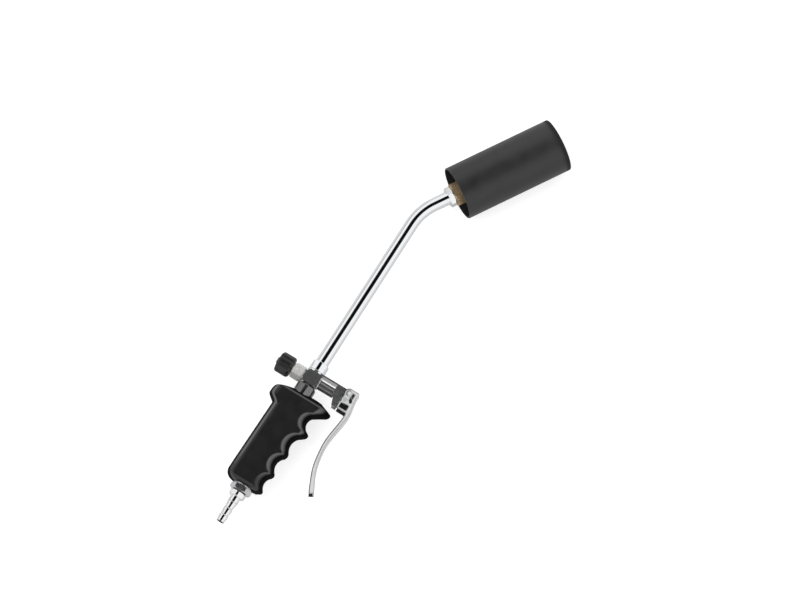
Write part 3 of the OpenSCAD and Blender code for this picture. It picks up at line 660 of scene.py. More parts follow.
class Palette:
    """Every finish of the torch, by the record's slot."""

    FINISHES: tuple[Finish, ...] = (
        # Painted shade in its bore and on its end face.
        BoredFinish("nickel", (0.84, 0.84, 0.84), (0.92, 0.92, 0.92), 1.0, 0.06, 0.1, 260.0,
                    relief_height=0.00002, relief_scale=1400.0),
        Finish("dull_plate", (0.66, 0.65, 0.63), (0.92, 0.91, 0.88), 0.5, 0.3, 0.15, 520.0,
               relief_height=0.00004, relief_scale=1400.0),
        Finish("copper", (0.06, 0.05, 0.045), (0.10, 0.07, 0.06), 0.6, 0.45, 0.15, 180.0),
        Finish("zinc", (0.62, 0.63, 0.66), (0.72, 0.72, 0.72), 1.0, 0.22, 0.14, 150.0),
        Finish("brass", (0.80, 0.60, 0.36), (0.36, 0.24, 0.12), 0.75, 0.3, 0.2, 520.0, wear_and_highlight_share=0.5,
               wear_and_highlight=(0.85, 0.70, 0.50)),
        # Pale band of wear and painted sheen along its rounded edges, painted shade at its rim.
        HandledFinish("grip", (0.0075, 0.0075, 0.008), (0.010, 0.010, 0.0105), 0.0, 0.3, 0.08, 90.0,
                      relief_scale=2600.0, relief_height=0.00002),
        TurnedFinish("dark_metal", (0.17, 0.17, 0.175), (0.21, 0.21, 0.215), 0.7, 0.2, 0.08, 240.0,
                     relief_scale=1600.0, relief_height=0.00001, specular=0.8),
        Finish("rubber", (0.02, 0.02, 0.02), (0.03, 0.03, 0.03), 0.0, 0.6, 0.1),
        Finish("steel", (0.80, 0.80, 0.81), (0.88, 0.88, 0.89), 0.5, 0.2, 0.12, 160.0, Relief.BRUSHING),
        Finish("spring_steel", (0.12, 0.12, 0.13), (0.2, 0.2, 0.21), 1.0, 0.3, 0.1, 160.0, wear_and_highlight_share=0.4),
        Finish("chrome", (0.86, 0.87, 0.89), (0.90, 0.91, 0.92), 1.0, 0.035, 0.05, 45.0,
               Relief.BRUSHING, 300.0, 0.000004),
        # Its pale worn edges are painted highlights.
        Finish("bracket_plate", (0.82, 0.83, 0.84), (0.92, 0.92, 0.93), 0.93, 0.1, 0.1, 200.0, wear_and_highlight_share=1.0,
               wear_and_highlight=(0.95, 0.95, 0.96)),
        # Painted shade inside its channel and along its edges.
        FoldedFinish("lever_plate", (0.88, 0.885, 0.90), (0.93, 0.93, 0.94), 0.4, 0.34, 0.1, 120.0,
                     Relief.BRUSHING, 500.0, 0.00001),
        Finish("knob", (0.009, 0.009, 0.0095), (0.014, 0.014, 0.0145), 0.0, 0.28, 0.1, 150.0,
               relief_scale=2200.0, relief_height=0.00002),
        Finish("screw", (0.16, 0.16, 0.17), (0.26, 0.26, 0.27), 1.0, 0.34, 0.12, 220.0, wear_and_highlight_share=0.5,
               wear_and_highlight=(0.6, 0.6, 0.6)),
        Finish("packing", (0.8, 0.8, 0.78), (0.7, 0.7, 0.67), 0.0, 0.45, 0.1),
        MouthDarkFinish("bell", (0.017, 0.017, 0.018), (0.025, 0.025, 0.026), 0.0, 0.38, 0.08, 70.0,
                     relief_scale=1500.0, relief_height=0.00002, wear_and_highlight_share=0.3, wear_and_highlight=(0.16, 0.16, 0.16)),
    )

    def __init__(self) -> None:
        """Builds every material once."""
        effects = Effects()
        self.materials = {f.slot: f.material(effects) for f in self.FINISHES}

    def dress(self, piece: bpy.types.Object, slot: str) -> None:
        """Gives a piece one finish all over.

        Args:
            piece: The piece.
            slot: The finish's slot.
        """
        piece.data.materials.clear()
        piece.data.materials.append(self.materials[slot])


# ---------------------------------------------------------------- meshes


class Workshop:
    """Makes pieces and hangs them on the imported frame."""

    def __init__(self, frame: dict[str, object], palette: Palette) -> None:
        """Keeps the frame and the finishes.

        Args:
            palette: The finishes.
        """
        self.nodes: dict[str, bpy.types.Object] = frame["nodes"]
        self.palette = palette
        bodies = frame["record"]["behaviour"]["bodies"]
        self.body_of = {node: body for body, nodes in bodies.items() for node in nodes}
        self.slot_of = {s["node"]: s["material_slot"] for s in frame["record"]["subparts"]}

    @staticmethod
    def raw(name: str, points: Sequence[Sequence[float]], faces: Iterable[Face]) -> bpy.types.Object:
        """Makes a bare object that isn't a piece yet.

        Args:
            name: The object's name.
            points: Vertices in millimetres.
            faces: Its faces.

        Returns:
            The object, with its faces pointing outwards.
        """
        mesh = bpy.data.meshes.new(name)
        mesh.from_pydata([tuple(c * MM for c in p) for p in points], [], list(faces))
        work = bmesh.new()
        work.from_mesh(mesh)
        bmesh.ops.remove_doubles(work, verts=work.verts, dist=0.0000005)
        bmesh.ops.recalc_face_normals(work, faces=work.faces)
        work.to_mesh(mesh)
        work.free()
        made = bpy.data.objects.new(name, mesh)
        bpy.context.scene.collection.objects.link(made)
        return made

    def piece(self, name: str, points: Sequence[Sequence[float]], faces: Iterable[Face], node: str,
              sharp: float = 32.0) -> bpy.types.Object:
        """Makes a mesh piece that stands for a CAD node.

        Args:
            name: The piece's name.
            points: Vertices in millimetres.
            faces: Faces that point outwards.
            node: The CAD node it replaces.
            sharp: Angle in degrees past which an edge stays sharp.

        Returns:
            The piece, dressed and riding its body.
        """
        mesh = bpy.data.meshes.new(name)
        mesh.from_pydata([tuple(c * MM for c in p) for p in points], [], list(faces))
        mesh.validate()
        return self.hang(name, mesh, node, sharp)

    def hang(self, name: str, mesh: bpy.types.Mesh, node: str, sharp: float | None) -> bpy.types.Object:
        """Shades a mesh, hangs it on its node's body and dresses it.

        Args:
            name: The piece's name.
            mesh: The mesh, in metres.
            node: The CAD node it replaces.
            sharp: Angle in degrees past which an edge stays sharp, or None to keep
                the mesh's own sharp edges.

        Returns:
            The piece.
        """
        mesh.polygons.foreach_set("use_smooth", [True] * len(mesh.polygons))
        if sharp is not None:
            mesh.set_sharp_from_angle(angle=math.radians(sharp))
        made = bpy.data.objects.new(name, mesh)
        bpy.context.scene.collection.objects.link(made)
        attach(made, self.body_of[node])
        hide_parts(node)
        self.palette.dress(made, self.slot_of[node])
        LOG.info("%s: %d faces, rides %s", name, len(mesh.polygons), self.body_of[node])
        return made

    def keep(self, node: str) -> None:
        """Keeps a CAD node as it is and gives it its finish."""
        self.palette.dress(self.nodes[node], self.slot_of[node])
        LOG.info("%s: kept", node)

    @staticmethod
    def flatten_shading(mesh: bpy.types.Mesh) -> bpy.types.Mesh:
        """Weights the normals by area, so that a flat face stays flat beside its rounded edges.

        Args:
            mesh: The mesh.

        Returns:
            A copy with its own normals.
        """
        mesh.polygons.foreach_set("use_smooth", [True] * len(mesh.polygons))
        carrier = bpy.data.objects.new("shading", mesh)
        bpy.context.scene.collection.objects.link(carrier)
        weigh = carrier.modifiers.new("weigh", "WEIGHTED_NORMAL")
        weigh.keep_sharp = True
        graph = bpy.context.evaluated_depsgraph_get()
        made = bpy.data.meshes.new_from_object(carrier.evaluated_get(graph))
        bpy.data.objects.remove(carrier)
        return made

    def soften(self, node: str, width: float, steps: int = 2, angle: float = 40.0,
               crease: float = 16.0) -> bpy.types.Object:
        """Replaces a CAD node by a copy with rounded edges.

        Args:
            node: The CAD node.
            width: Width of the rounding in millimetres.
            steps: Faces across the rounding.
            angle: Least angle in degrees between faces that gets rounded.
            crease: Least angle in degrees that stays a crease.

        Returns:
            The softened piece.
        """
        mesh = self.nodes[node].data.copy()
        work = bmesh.new()
        work.from_mesh(mesh)
        bmesh.ops.remove_doubles(work, verts=work.verts, dist=0.000002)
        bmesh.ops.dissolve_limit(work, angle_limit=math.radians(0.6), verts=work.verts, edges=work.edges)
        turns = {e: math.degrees(e.calc_face_angle(0)) if len(e.link_faces) == 2 else 0.0 for e in work.edges}
        for edge, turn in turns.items():
            edge.smooth = not crease < turn <= angle
        sharp = [e for e, turn in turns.items() if turn > angle]
        bmesh.ops.bevel(work, geom=sharp, offset=width * MM, segments=steps, profile=0.5, affect="EDGES",
                        clamp_overlap=True, loop_slide=True)
        bmesh.ops.triangulate(work, faces=[f for f in work.faces if len(f.verts) > 4])
        work.to_mesh(mesh)
        work.free()
        if mesh.has_custom_normals:
            mesh.attributes.remove(mesh.attributes["custom_normal"])
        return self.hang(node + "_soft", self.flatten_shading(mesh), node, None)


def band(first: int, second: int, count: int, closed: bool = True) -> list[Face]:
    """Faces between two rings of points.

    Args:
        first: Index of the first ring's first point.
        second: Index of the second ring's first point.
        count: Points in a ring.
        closed: Whether the rings close.

    Returns:
        The faces.
    """
    last = count if closed else count - 1
    return [(first + i, first + (i + 1) % count, second + (i + 1) % count, second + i) for i in range(last)]


@dataclass
class Turning:
    """A closed outline turned round an axis.

    Attributes:
        outline: Points as (distance along the axis, radius), going round the wall.
        origin: A point on the axis.
        direction: The axis.
        segments: Faces round the axis.
    """

    outline: Sequence[tuple[float, float]]
    origin: Point
    direction: Point
    segments: int = 128

    def mesh(self) -> tuple[list[Point], list[Face]]:
        """Turns the outline.

        Returns:
            Vertices and faces.
        """
        axis = Vector(self.direction).normalized()
        side = axis.orthogonal().normalized()
        up = axis.cross(side)
        points: list[Point] = []
        for along, radius in self.outline:
            for i in range(self.segments):
                a = math.tau * i / self.segments
                place = Vector(self.origin) + axis * along + (side * math.cos(a) + up * math.sin(a)) * radius
                points.append(tuple(place))
        faces: list[Face] = []
        count = len(self.outline)
        for j in range(count):
            faces += band(j * self.segments, (j + 1) % count * self.segments, self.segments)
        return points, faces

    def solid(self) -> tuple[list[Point], list[Face]]:
        """Turns an outline that starts and ends on the axis.

        Returns:
            Vertices and faces, without the band along the axis.
        """
        points, faces = self.mesh()
        return points, faces[:-self.segments]


def rounded_wall(start: float, end: float, outer: float, inner: float,
                 lip: float) -> list[tuple[float, float]]:
    """Outline of a tube's wall with both lips rounded.

    Args:
        start: Where the tube starts along its axis.
        end: Where it ends.
        outer: Outer radius.
        inner: Inner radius.
        lip: Radius of the rounding.

    Returns:
        Points as (distance, radius), going round the wall.
    """
    corners = ((start, outer, 180, 90), (end, outer, 90, 0), (end, inner, 0, -90), (start, inner, -90, -180))
    shape: list[tuple[float, float]] = []
    for along, radius, first, last in corners:
        cx = along + (lip if along == start else -lip)
        cy = radius + (lip if radius == inner else -lip)
        for i in range(5):
            a = math.radians(first + (last - first) * i / 4)
            shape.append((cx + lip * math.cos(a), cy + lip * math.sin(a)))
    return shape


# ---------------------------------------------------------------- the torch


@dataclass
class Grip:
    """The moulded grip.

    Attributes:
        foot: Where the grip starts along X.
        length: Its length.
        half: Half of its thickness.
        spine: Distance from the pipe to the spine at the foot.
        lean: How far the spine leans in.
        rise: Height of the rear flare.
        flare_start: Where the flare starts, from the foot.
        flare_run: Length over which it rises.
        bore: Radius of the pipe's hole.
        seat: Radius of the seat of the valve block's shank.
        seat_depth: Depth of that seat.
        spine_edge: Width of the rounded edge along the spine.
        groove_edge: Width of the rounded edge round the finger grooves.
        edge_turn: Share of a quarter turn that the rounded edges have.
        crown_radius: Radius of the crown's tip.
        crown_middle: Y of the crown's middle.
        crown_edge: Width of the crown's rounded edge.
        crown_rim: Power that keeps the pale band of wear and painted sheen off most of that edge.
        foot_round: Radius of the spine's corner at the foot.
        foot_flat: Half of the foot's flat on the finger side.
        toe_slope: Slope of the foot towards the first lip.
        foot_fall: Length over which the panel falls away at the foot, and how far.
        grooves: Finger grooves as centre, radius and depth of the floor.
        lips: Line through the lips between the grooves.
        limit: Outer limit of the panel's creases.
    """

    foot: float = 12.6
    length: float = 106.3
    half: float = 13.0
    spine: float = 20.9
    lean: float = 1.1
    rise: float = 7.8
    flare_start: float = 82.3
    flare_run: float = 8.5
    bore: float = 6.05
    seat: float = 10.2
    seat_depth: float = 3.0
    spine_edge: float = 5.8
    groove_edge: float = 8.2
    edge_turn: float = 0.6
    crown_radius: float = 78.0
    crown_middle: float = -5.5
    crown_edge: float = 7.0
    crown_rim: float = 2.2
    foot_round: float = 8.5
    foot_flat: float = 7.5
    toe_slope: float = 0.2
    foot_fall: tuple[float, float] = (4.5, 5.5)
    grooves: tuple[tuple[float, float, float], ...] = ((13.1, 10.5, 16.0), (34.2, 12, 15.8),
                                                       (57.3, 13.5, 17.5), (83.6, 10, 19.2))
    lips: tuple[tuple[float, float], ...] = ((3, 19.9), (24, 20.5), (46.3, 21.1), (71.8, 26.9), (99.3, 34.5),
                                             (110, 37.5))
    limit: tuple[tuple[float, float], ...] = ((0, 16.5), (44, 17), (70, 19), (90, 19.2), (98, 21.8),
                                              (110, 23))

    @staticmethod
    def lookup(x: float, table: Sequence[tuple[float, float]]) -> float:
        """Reads a value between a table's points."""
        return float(np.interp(x, [t[0] for t in table], [t[1] for t in table]))

    @staticmethod
    def smooth_max(a: float, b: float, k: float) -> float:
        """The larger of two values with the corner rounded by k."""
        return (a + b + math.sqrt((a - b) ** 2 + k * k)) / 2

    @staticmethod
    def clamp(value: float) -> float:
        """The value, kept between 0 and 1."""
        return min(max(value, 0.0), 1.0)

    def groove(self, centre: float, radius: float, floor: float, x: float) -> float:
        """Wall of one finger groove: a circle that runs out into its tangent.

        Args:
            centre: Groove's middle along the grip.
            radius: Its radius.
            floor: Depth of its floor from the pipe's axis.
            x: Distance from the foot.

        Returns:
            The wall's Y.
        """
        t, reach = abs(x - centre) / radius, 0.9
        if t < reach:
            return -floor - radius * (1 - math.sqrt(1 - t * t))
        root = math.sqrt(1 - reach * reach)
        return -floor - radius * (1 - root + (t - reach) * reach / root)

    def crown(self, x: float) -> float:
        """Half of the crown's width at a distance x from the foot."""
        return math.sqrt(max(0.0, 2 * self.crown_radius * (self.length - x)))

    def front(self, x: float) -> float:
        """The finger side's Y at a distance x from the foot."""
        toe = -self.foot_flat - x / self.toe_slope
        walls = max(self.groove(*g, x) for g in self.grooves)
        body = self.smooth_max(walls, -self.lookup(x, self.lips), 1.6)
        body = self.smooth_max(body, toe, 3 * self.clamp(x / 2))
        ease = self.clamp((x - 60) / 20) * self.clamp((self.length - x) / 3)
        return self.smooth_max(body, self.crown_middle - self.crown(x), 1.8 * ease)

    def back(self, x: float) -> float:
        """The spine's Y at a distance x from the foot."""
        if x < self.foot_round:
            return self.spine - self.foot_round + math.sqrt(max(0.0, 2 * self.foot_round * x - x * x))
        t = self.clamp((x - self.flare_start) / self.flare_run)
        flared = self.spine - self.lean * self.clamp((x - 14) / 65) + self.rise * t * t * (3 - 2 * t)
        crown = self.crown_middle + self.crown(x)
        return -self.smooth_max(-crown, -flared, 5 * self.clamp((self.length - x) / 3))

    def panel(self, x: float) -> tuple[float, float, float, float]:
        """The outline and the flat panel's creases.

        Args:
            x: Distance from the foot.

        Returns:
            The Y of the finger side, of both creases and of the spine.
        """
        front, back = self.front(x), self.back(x)
        walls = max(self.groove(*g, x + 2) for g in self.grooves)
        low = max(front + 0.4, min(max(walls + self.groove_edge, -self.lookup(x, self.limit)), 0))
        return front, low, max(low + 1, min(back - 0.4, max(back - self.spine_edge, 4))), back

    def edge_rise(self, t: float) -> float:
        """Height of a rounded edge at a share t of its width."""
        full = math.sqrt(1 - (1 - self.edge_turn) ** 2)
        return math.sqrt(max(0.0, 1 - (1 - self.edge_turn * t) ** 2)) / full

    def ring(self, x: float) -> list[Point]:
        """One section across the grip.

        Args:
            x: Distance from the foot.

        Returns:
            Points round the section, in millimetres.
        """
        front, low, high, back = self.panel(x)
        run, fall = self.foot_fall
        top = (self.half - fall * self.clamp(1 - x / run) ** 2)
        top *= self.edge_rise(self.clamp((self.length - x) / self.crown_edge))
        share = [(i / 12) ** 1.6 for i in range(13)]
        half = [(self.foot + x, front + (low - front) * t, top * self.edge_rise(t)) for t in share]
        half += [(self.foot + x, low + (high - low) * i / 10, top) for i in range(1, 10)]
        half += [(self.foot + x, back + (high - back) * t, top * self.edge_rise(t)) for t in reversed(share)]
        return half + [(px, py, -pz) for px, py, pz in reversed(half[1:-1])]

    def stations(self) -> list[float]:
        """Distances from the foot where the sections lie, close together at both ends."""
        foot = [0.02, 0.15, 0.35, 0.6, 1.0, 1.4]
        body = [1.8 + (self.length - 9.8) * i / 240 for i in range(241)]
        crown = [self.length - 0.02 - 8.0 * (1 - i / 40) ** 2 for i in range(1, 41)]
        return foot + body + crown

    def mark_edges(self, mesh: bpy.types.Mesh) -> None:
        """Stores how far each point lies in from the outline, and how strong the pale band of wear and
        painted sheen is there, for the finish.

        Args:
            mesh: The grip, in metres.
        """
        store = mesh.attributes.new("edge", "FLOAT", "POINT")
        wear_and_sheen_reach = mesh.attributes.new("wear_and_sheen_reach", "FLOAT", "POINT")
        for i, vertex in enumerate(mesh.vertices):
            x, y = vertex.co.x / MM - self.foot, vertex.co.y / MM
            front, low, high, back = self.panel(min(max(x, 0.02), self.length - 0.02))
            crown = self.clamp((self.length - x) / self.crown_edge) ** self.crown_rim
            share = min((y - front) / (low - front), (back - y) / (back - high), crown)
            store.data[i].value = self.clamp(share)
            # Strength of the pale band of wear and painted sheen: weaker near the crown and near the foot.
            away = self.clamp((self.length - x - 3) / 8)
            wear_and_sheen_reach.data[i].value = (0.25 + 0.75 * away) * (0.1 + 0.9 * self.clamp((x - 10) / 16))

    def cut(self, solid: bpy.types.Object, tools: Sequence[bpy.types.Object]) -> bpy.types.Mesh:
        """Cuts the tools out of a solid.

        Args:
            solid: The solid.
            tools: The tools, which are removed afterwards.

        Returns:
            The cut mesh.
        """
        for tool in tools:
            cutter = solid.modifiers.new(tool.name, "BOOLEAN")
            cutter.operation, cutter.solver, cutter.object = "DIFFERENCE", "EXACT", tool
        graph = bpy.context.evaluated_depsgraph_get()
        mesh = bpy.data.meshes.new_from_object(solid.evaluated_get(graph))
        for used in (solid, *tools):
            bpy.data.objects.remove(used)
        return mesh

    def build(self, shop: Workshop) -> None:
        """Lofts the grip, bores it and replaces the CAD grip.

        Args:
            shop: The workshop.
        """
        rings = [self.ring(x) for x in self.stations()]
        count = len(rings[0])
        points = [p for r in rings for p in r]
        last = (len(rings) - 1) * count
        faces: list[Face] = [tuple(range(count)), tuple(last + i for i in reversed(range(count)))]
        for j in range(len(rings) - 1):
            faces += band((j + 1) * count, j * count, count)
        solid = shop.raw("grip_solid", points, faces)
        top = self.foot + self.length
        drill = [(self.foot - 5, 0.0), (self.foot - 5, self.bore), (top - self.seat_depth, self.bore),
                 (top - self.seat_depth, self.seat), (top + 5, self.seat), (top + 5, 0.0)]
        tool = shop.raw("grip_drill", *Turning(drill, (0.0, 0.0, 0.0), (1.0, 0.0, 0.0), 96).solid())
        mesh = self.cut(solid, [tool])
        self.mark_edges(mesh)
        shop.hang("grip_moulding", mesh, "grip", 38.0)


@dataclass
class FlowKnob:
    """The knob of the flow valve with its screw and gland.

    Attributes:
        x: The valve's axis along X.
        start: Where the knob starts along Y.
        length: Its length.
        radius: Its radius.
        flutes: Number of flutes.
        flute: Depth of a flute.
        rounding: Rounding of the ends.
        bore: Radius of the stem's hole.
        screw_hole: Radius of the screw's hole.
    """

    x: float = 133.7
    start: float = 21.2
    length: float = 14.8
    radius: float = 10.4
    flutes: int = 8
    flute: float = 1.35
    rounding: float = 2.4
    bore: float = 2.55
    screw_hole: float = 1.55

    def flute_depth(self, angle: float) -> float:
        """Depth of the flutes at an angle round the knob, in radians."""
        turn = (angle * self.flutes / math.tau) % 1.0
        off = abs(turn - 0.5) * math.tau / self.flutes * self.radius
        return self.flute * math.exp(-((off / 1.55) ** 4))

    def build(self, shop: Workshop) -> None:
        """Makes the fluted knob and softens what goes with it.

        Args:
            shop: The workshop.
        """
        outline: list[tuple[float, float, float]] = [(0.0, self.bore, 0.0),
                                                     (0.0, self.radius - self.rounding, 0.3)]
        arc = [math.radians(9 * i) for i in range(1, 11)]
        outline += [(self.rounding * (1 - math.cos(a)), self.radius - self.rounding * (1 - math.sin(a)),
                     min(1.0, math.sin(a) + 0.3)) for a in arc]
        outline += [(self.rounding + (self.length - 2 * self.rounding) * i / 6, self.radius, 1.0)
                    for i in range(1, 6)]
        outline += [(self.length - self.rounding * (1 - math.cos(a)),
                     self.radius - self.rounding * (1 - math.sin(a)),
                     min(1.0, math.sin(a) + 0.3)) for a in reversed(arc)]
        outline += [(self.length, self.radius - self.rounding, 0.3), (self.length, 5.6, 0.0),
                    (self.length - 0.5, 5.2, 0.0), (self.length - 0.5, 4.6, 0.0), (self.length, 4.2, 0.0),
                    (self.length, self.screw_hole, 0.0), (self.length - 2, self.screw_hole, 0.0),
                    (self.length - 2, self.bore, 0.0)]
        count = self.flutes * 28
        points: list[Point] = []
        for along, radius, share in outline:
            for i in range(count):
                a = math.tau * i / count
                r = radius - self.flute_depth(a) * share
                points.append((self.x + r * math.cos(a), self.start + along, -r * math.sin(a)))
        faces: list[Face] = []
        for j in range(len(outline)):
            faces += band((j + 1) % len(outline) * count, j * count, count)
        shop.piece("fluted_knob", points, faces, "control_knob", sharp=50.0)
        shop.soften("knob_screw", 0.25)
        shop.soften("gland_nut", 0.35, 3)
        shop.soften("gland_washer", 0.2)
        for node in ("needle_stem", "stem_packing"):
            shop.keep(node)


@dataclass
class Lance:
    """The bent tube and its nuts.

    Attributes:
        start: Where the tube starts along X.
        knee: Where its straight lines meet.
        bend: Angle of the bend in degrees.
        bend_radius: Radius of the bend.
        radius: Outer radius of the tube.
        wall: Its wall.
        run: Length from the knee to the tube's far end.
    """

    start: float = 143.9
    knee: float = 330.2
    bend: float = 31.3
    bend_radius: float = 55.0
    radius: float = 6.5
    wall: float = 1.0
    run: float = 45.1

    def path(self) -> list[Point]:
        """Points along the tube's middle."""
        setback = self.bend_radius * math.tan(math.radians(self.bend / 2))
        first = self.knee - setback
        points: list[Point] = [(self.start + (first - self.start) * i / 12, 0.0, 0.0) for i in range(12)]
        for i in range(33):
            a = math.radians(self.bend * i / 32)
            points.append((first + self.bend_radius * math.sin(a),
                           -self.bend_radius * (1 - math.cos(a)), 0.0))
        far = math.radians(self.bend)
        points.append((self.knee + self.run * math.cos(far), -self.run * math.sin(far), 0.0))
        return points

    def tube_tree(self) -> bpy.types.NodeTree:
        """Builds the geometry nodes that lay a round tube along a path.

        Returns:
            The node tree, with the radius, the segments and the material as inputs.
        """
        made = bpy.data.node_groups.new("Tube along a path", "GeometryNodeTree")
        made.interface.new_socket("Path", in_out="INPUT", socket_type="NodeSocketGeometry")
        made.interface.new_socket("Radius", in_out="INPUT", socket_type="NodeSocketFloat")
        made.interface.new_socket("Segments", in_out="INPUT", socket_type="NodeSocketInt")
        made.interface.new_socket("Material", in_out="INPUT", socket_type="NodeSocketMaterial")
        made.interface.new_socket("Tube", in_out="OUTPUT", socket_type="NodeSocketGeometry")
        tree = Tree(made)
        start, end = tree.add("NodeGroupInput"), tree.add("NodeGroupOutput")
        circle = tree.add("GeometryNodeCurvePrimitiveCircle")
        tree.join(start.outputs["Radius"], circle.inputs["Radius"])
        tree.join(start.outputs["Segments"], circle.inputs["Resolution"])
        line = tree.add("GeometryNodeMeshToCurve")
        tree.join(start.outputs["Path"], line.inputs["Mesh"])
        sweep = tree.add("GeometryNodeCurveToMesh")
        tree.join(line.outputs[0], sweep.inputs["Curve"])
        tree.join(circle.outputs[0], sweep.inputs["Profile Curve"])
        real = tree.add("GeometryNodeRealizeInstances")
        tree.join(sweep.outputs[0], real.inputs[0])
        paint = tree.add("GeometryNodeSetMaterial")
        tree.join(real.outputs[0], paint.inputs["Geometry"])
        tree.join(start.outputs["Material"], paint.inputs["Material"])
        tree.join(paint.outputs[0], end.inputs[0])
        return made

    def build(self, shop: Workshop) -> None:
        """Sweeps the tube and softens the nuts.

        Args:
            shop: The workshop.
        """
        path = self.path()
        line = bpy.data.meshes.new("lance_path")
        line.from_pydata([tuple(c * MM for c in p) for p in path],
                         [(i, i + 1) for i in range(len(path) - 1)], [])
        carrier = bpy.data.objects.new("lance_path", line)
        bpy.context.scene.collection.objects.link(carrier)
        modifier = carrier.modifiers.new("tube", "NODES")
        modifier.node_group = self.tube_tree()
        chosen = {"Radius": self.radius * MM, "Segments": 96, "Material": shop.palette.materials["chrome"]}
        for item in modifier.node_group.interface.items_tree:
            if item.in_out == "INPUT" and item.name in chosen:
                modifier[item.identifier] = chosen[item.name]
        wall = carrier.modifiers.new("wall", "SOLIDIFY")
        wall.thickness = self.wall * MM
        wall.offset = -1.0
        graph = bpy.context.evaluated_depsgraph_get()
        mesh = bpy.data.meshes.new_from_object(carrier.evaluated_get(graph))
        bpy.data.objects.remove(carrier)
        work = bmesh.new()
        work.from_mesh(mesh)
        bmesh.ops.recalc_face_normals(work, faces=work.faces)
        work.to_mesh(mesh)
        work.free()
        shop.hang("bent_lance", mesh, "lance_tube", 40.0)
        shop.soften("lance_nut", 0.4, 3)
        shop.keep("lance_olive")


@dataclass
class Burner:
    """The bell and what it holds.

    Attributes:
        knee: Where the lance turns, along X.
        bend: Angle of the bell's axis in degrees.
        setback: Distance from the turn to the bell's rear edge.
        radius: Outer radius of the bell.
        wall: Its wall.
        length: Its length.
    """

    knee: float = 330.2
    bend: float = 31.3
    setback: float = 40.3
    radius: float = 26.5
    wall: float = 1.5
    length: float = 109.5

    def build(self, shop: Workshop) -> None:
        """Turns the bell and softens the fittings inside it.

        Args:
            shop: The workshop.
        """
        a = math.radians(self.bend)
        outline = rounded_wall(self.setback, self.setback + self.length, self.radius,
                               self.radius - self.wall, 0.6)
        turning = Turning(outline, (self.knee, 0.0, 0.0), (math.cos(a), -math.sin(a), 0.0), 192)
        points, faces = turning.mesh()
        shop.piece("open_bell", points, faces, "burner_bell", sharp=40.0)
        shop.soften("head_nut", 0.3)
        shop.soften("injector_holder", 0.35, 3)
        shop.soften("spider_nut", 0.3)
        shop.soften("bell_spider", 0.3)
        for node in ("flame_disc", "gas_jet"):
            shop.keep(node)


@dataclass
class ValveBlock:
    """The valve block and the trigger valve's pieces."""

    soft: tuple[tuple[str, float, int], ...] = (("valve_body", 0.5, 3), ("plunger_housing", 0.4, 3),
                                                ("housing_washer", 0.2, 2))
    kept: tuple[str, ...] = ("valve_seat", "valve_seal", "plunger_rod", "plunger_spring", "rod_oring")

    def build(self, shop: Workshop) -> None:
        """Softens the outer pieces and dresses the inner ones.

        Args:
            shop: The workshop.
        """
        for node, width, steps in self.soft:
            shop.soften(node, width, steps)
        for node in self.kept:
            shop.keep(node)


@dataclass
class SqueezeLever:
    """The folded bracket and the lever on its pin.

    Attributes:
        half: Distance from the middle to the inner face of the lever's cheeks.
        openings: Room round the upper cheek's slot, window and pin hole, as lowest and highest X and Y.
        soft: Pieces with rounded edges: node, width of the rounding and its faces.
    """

    half: float = 6.8
    openings: tuple[tuple[float, float, float, float], ...] = ((130.6, 142.2, -45.0, -41.0),
                                                               (122.4, 129.6, -44.9, -34.6),
                                                               (129.7, 135.7, -40.5, -34.7))
    soft: tuple[tuple[str, float, int], ...] = (("lever_bracket", 0.45, 3), ("trigger_lever", 0.7, 3),
                                                ("pivot_pin", 0.3, 3), ("push_pin", 0.3, 3),
                                                ("pivot_clip", 0.12, 1))

    def mark_inside(self, mesh: bpy.types.Mesh) -> None:
        """Marks the faces that look into the channel and the walls of its openings, where the finish paints
        shade.

        Args:
            mesh: The lever, in metres.
        """
        store = mesh.attributes.new("inside", "FLOAT", "FACE")
        for i, face in enumerate(mesh.polygons):
            (x, y, z), normal = face.center / MM, face.normal
            inward = abs(z) < self.half + 0.2 and (normal.y > 0.2 or normal.z * z < -0.2)
            near = any(a < x < b and c < y < d for a, b, c, d in self.openings)
            wall = abs(normal.z) < 0.985 and z > 0 and near
            store.data[i].value = 1.0 if inward or wall else 0.0

    def build(self, shop: Workshop) -> None:
        """Softens every piece of the lever.

        Args:
            shop: The workshop.
        """
        for node, width, steps in self.soft:
            made = shop.soften(node, width, steps)
            if node == "trigger_lever":
                self.mark_inside(made.data)


@dataclass
class HoseEnd:
    """The barbed tail and the stack under the grip."""

    soft: tuple[tuple[str, float, int], ...] = (("hose_tail", 0.1, 2), ("grip_locknut", 0.4, 3),
                                                ("grip_washer", 0.2, 2), ("tail_washer", 0.15, 2))

    def build(self, shop: Workshop) -> None:
        """Softens the stack and dresses the pipe.

        Args:
            shop: The workshop.
        """
        for node, width, steps in self.soft:
            shop.soften(node, width, steps)
        shop.keep("gas_pipe")


# ---------------------------------------------------------------- studio


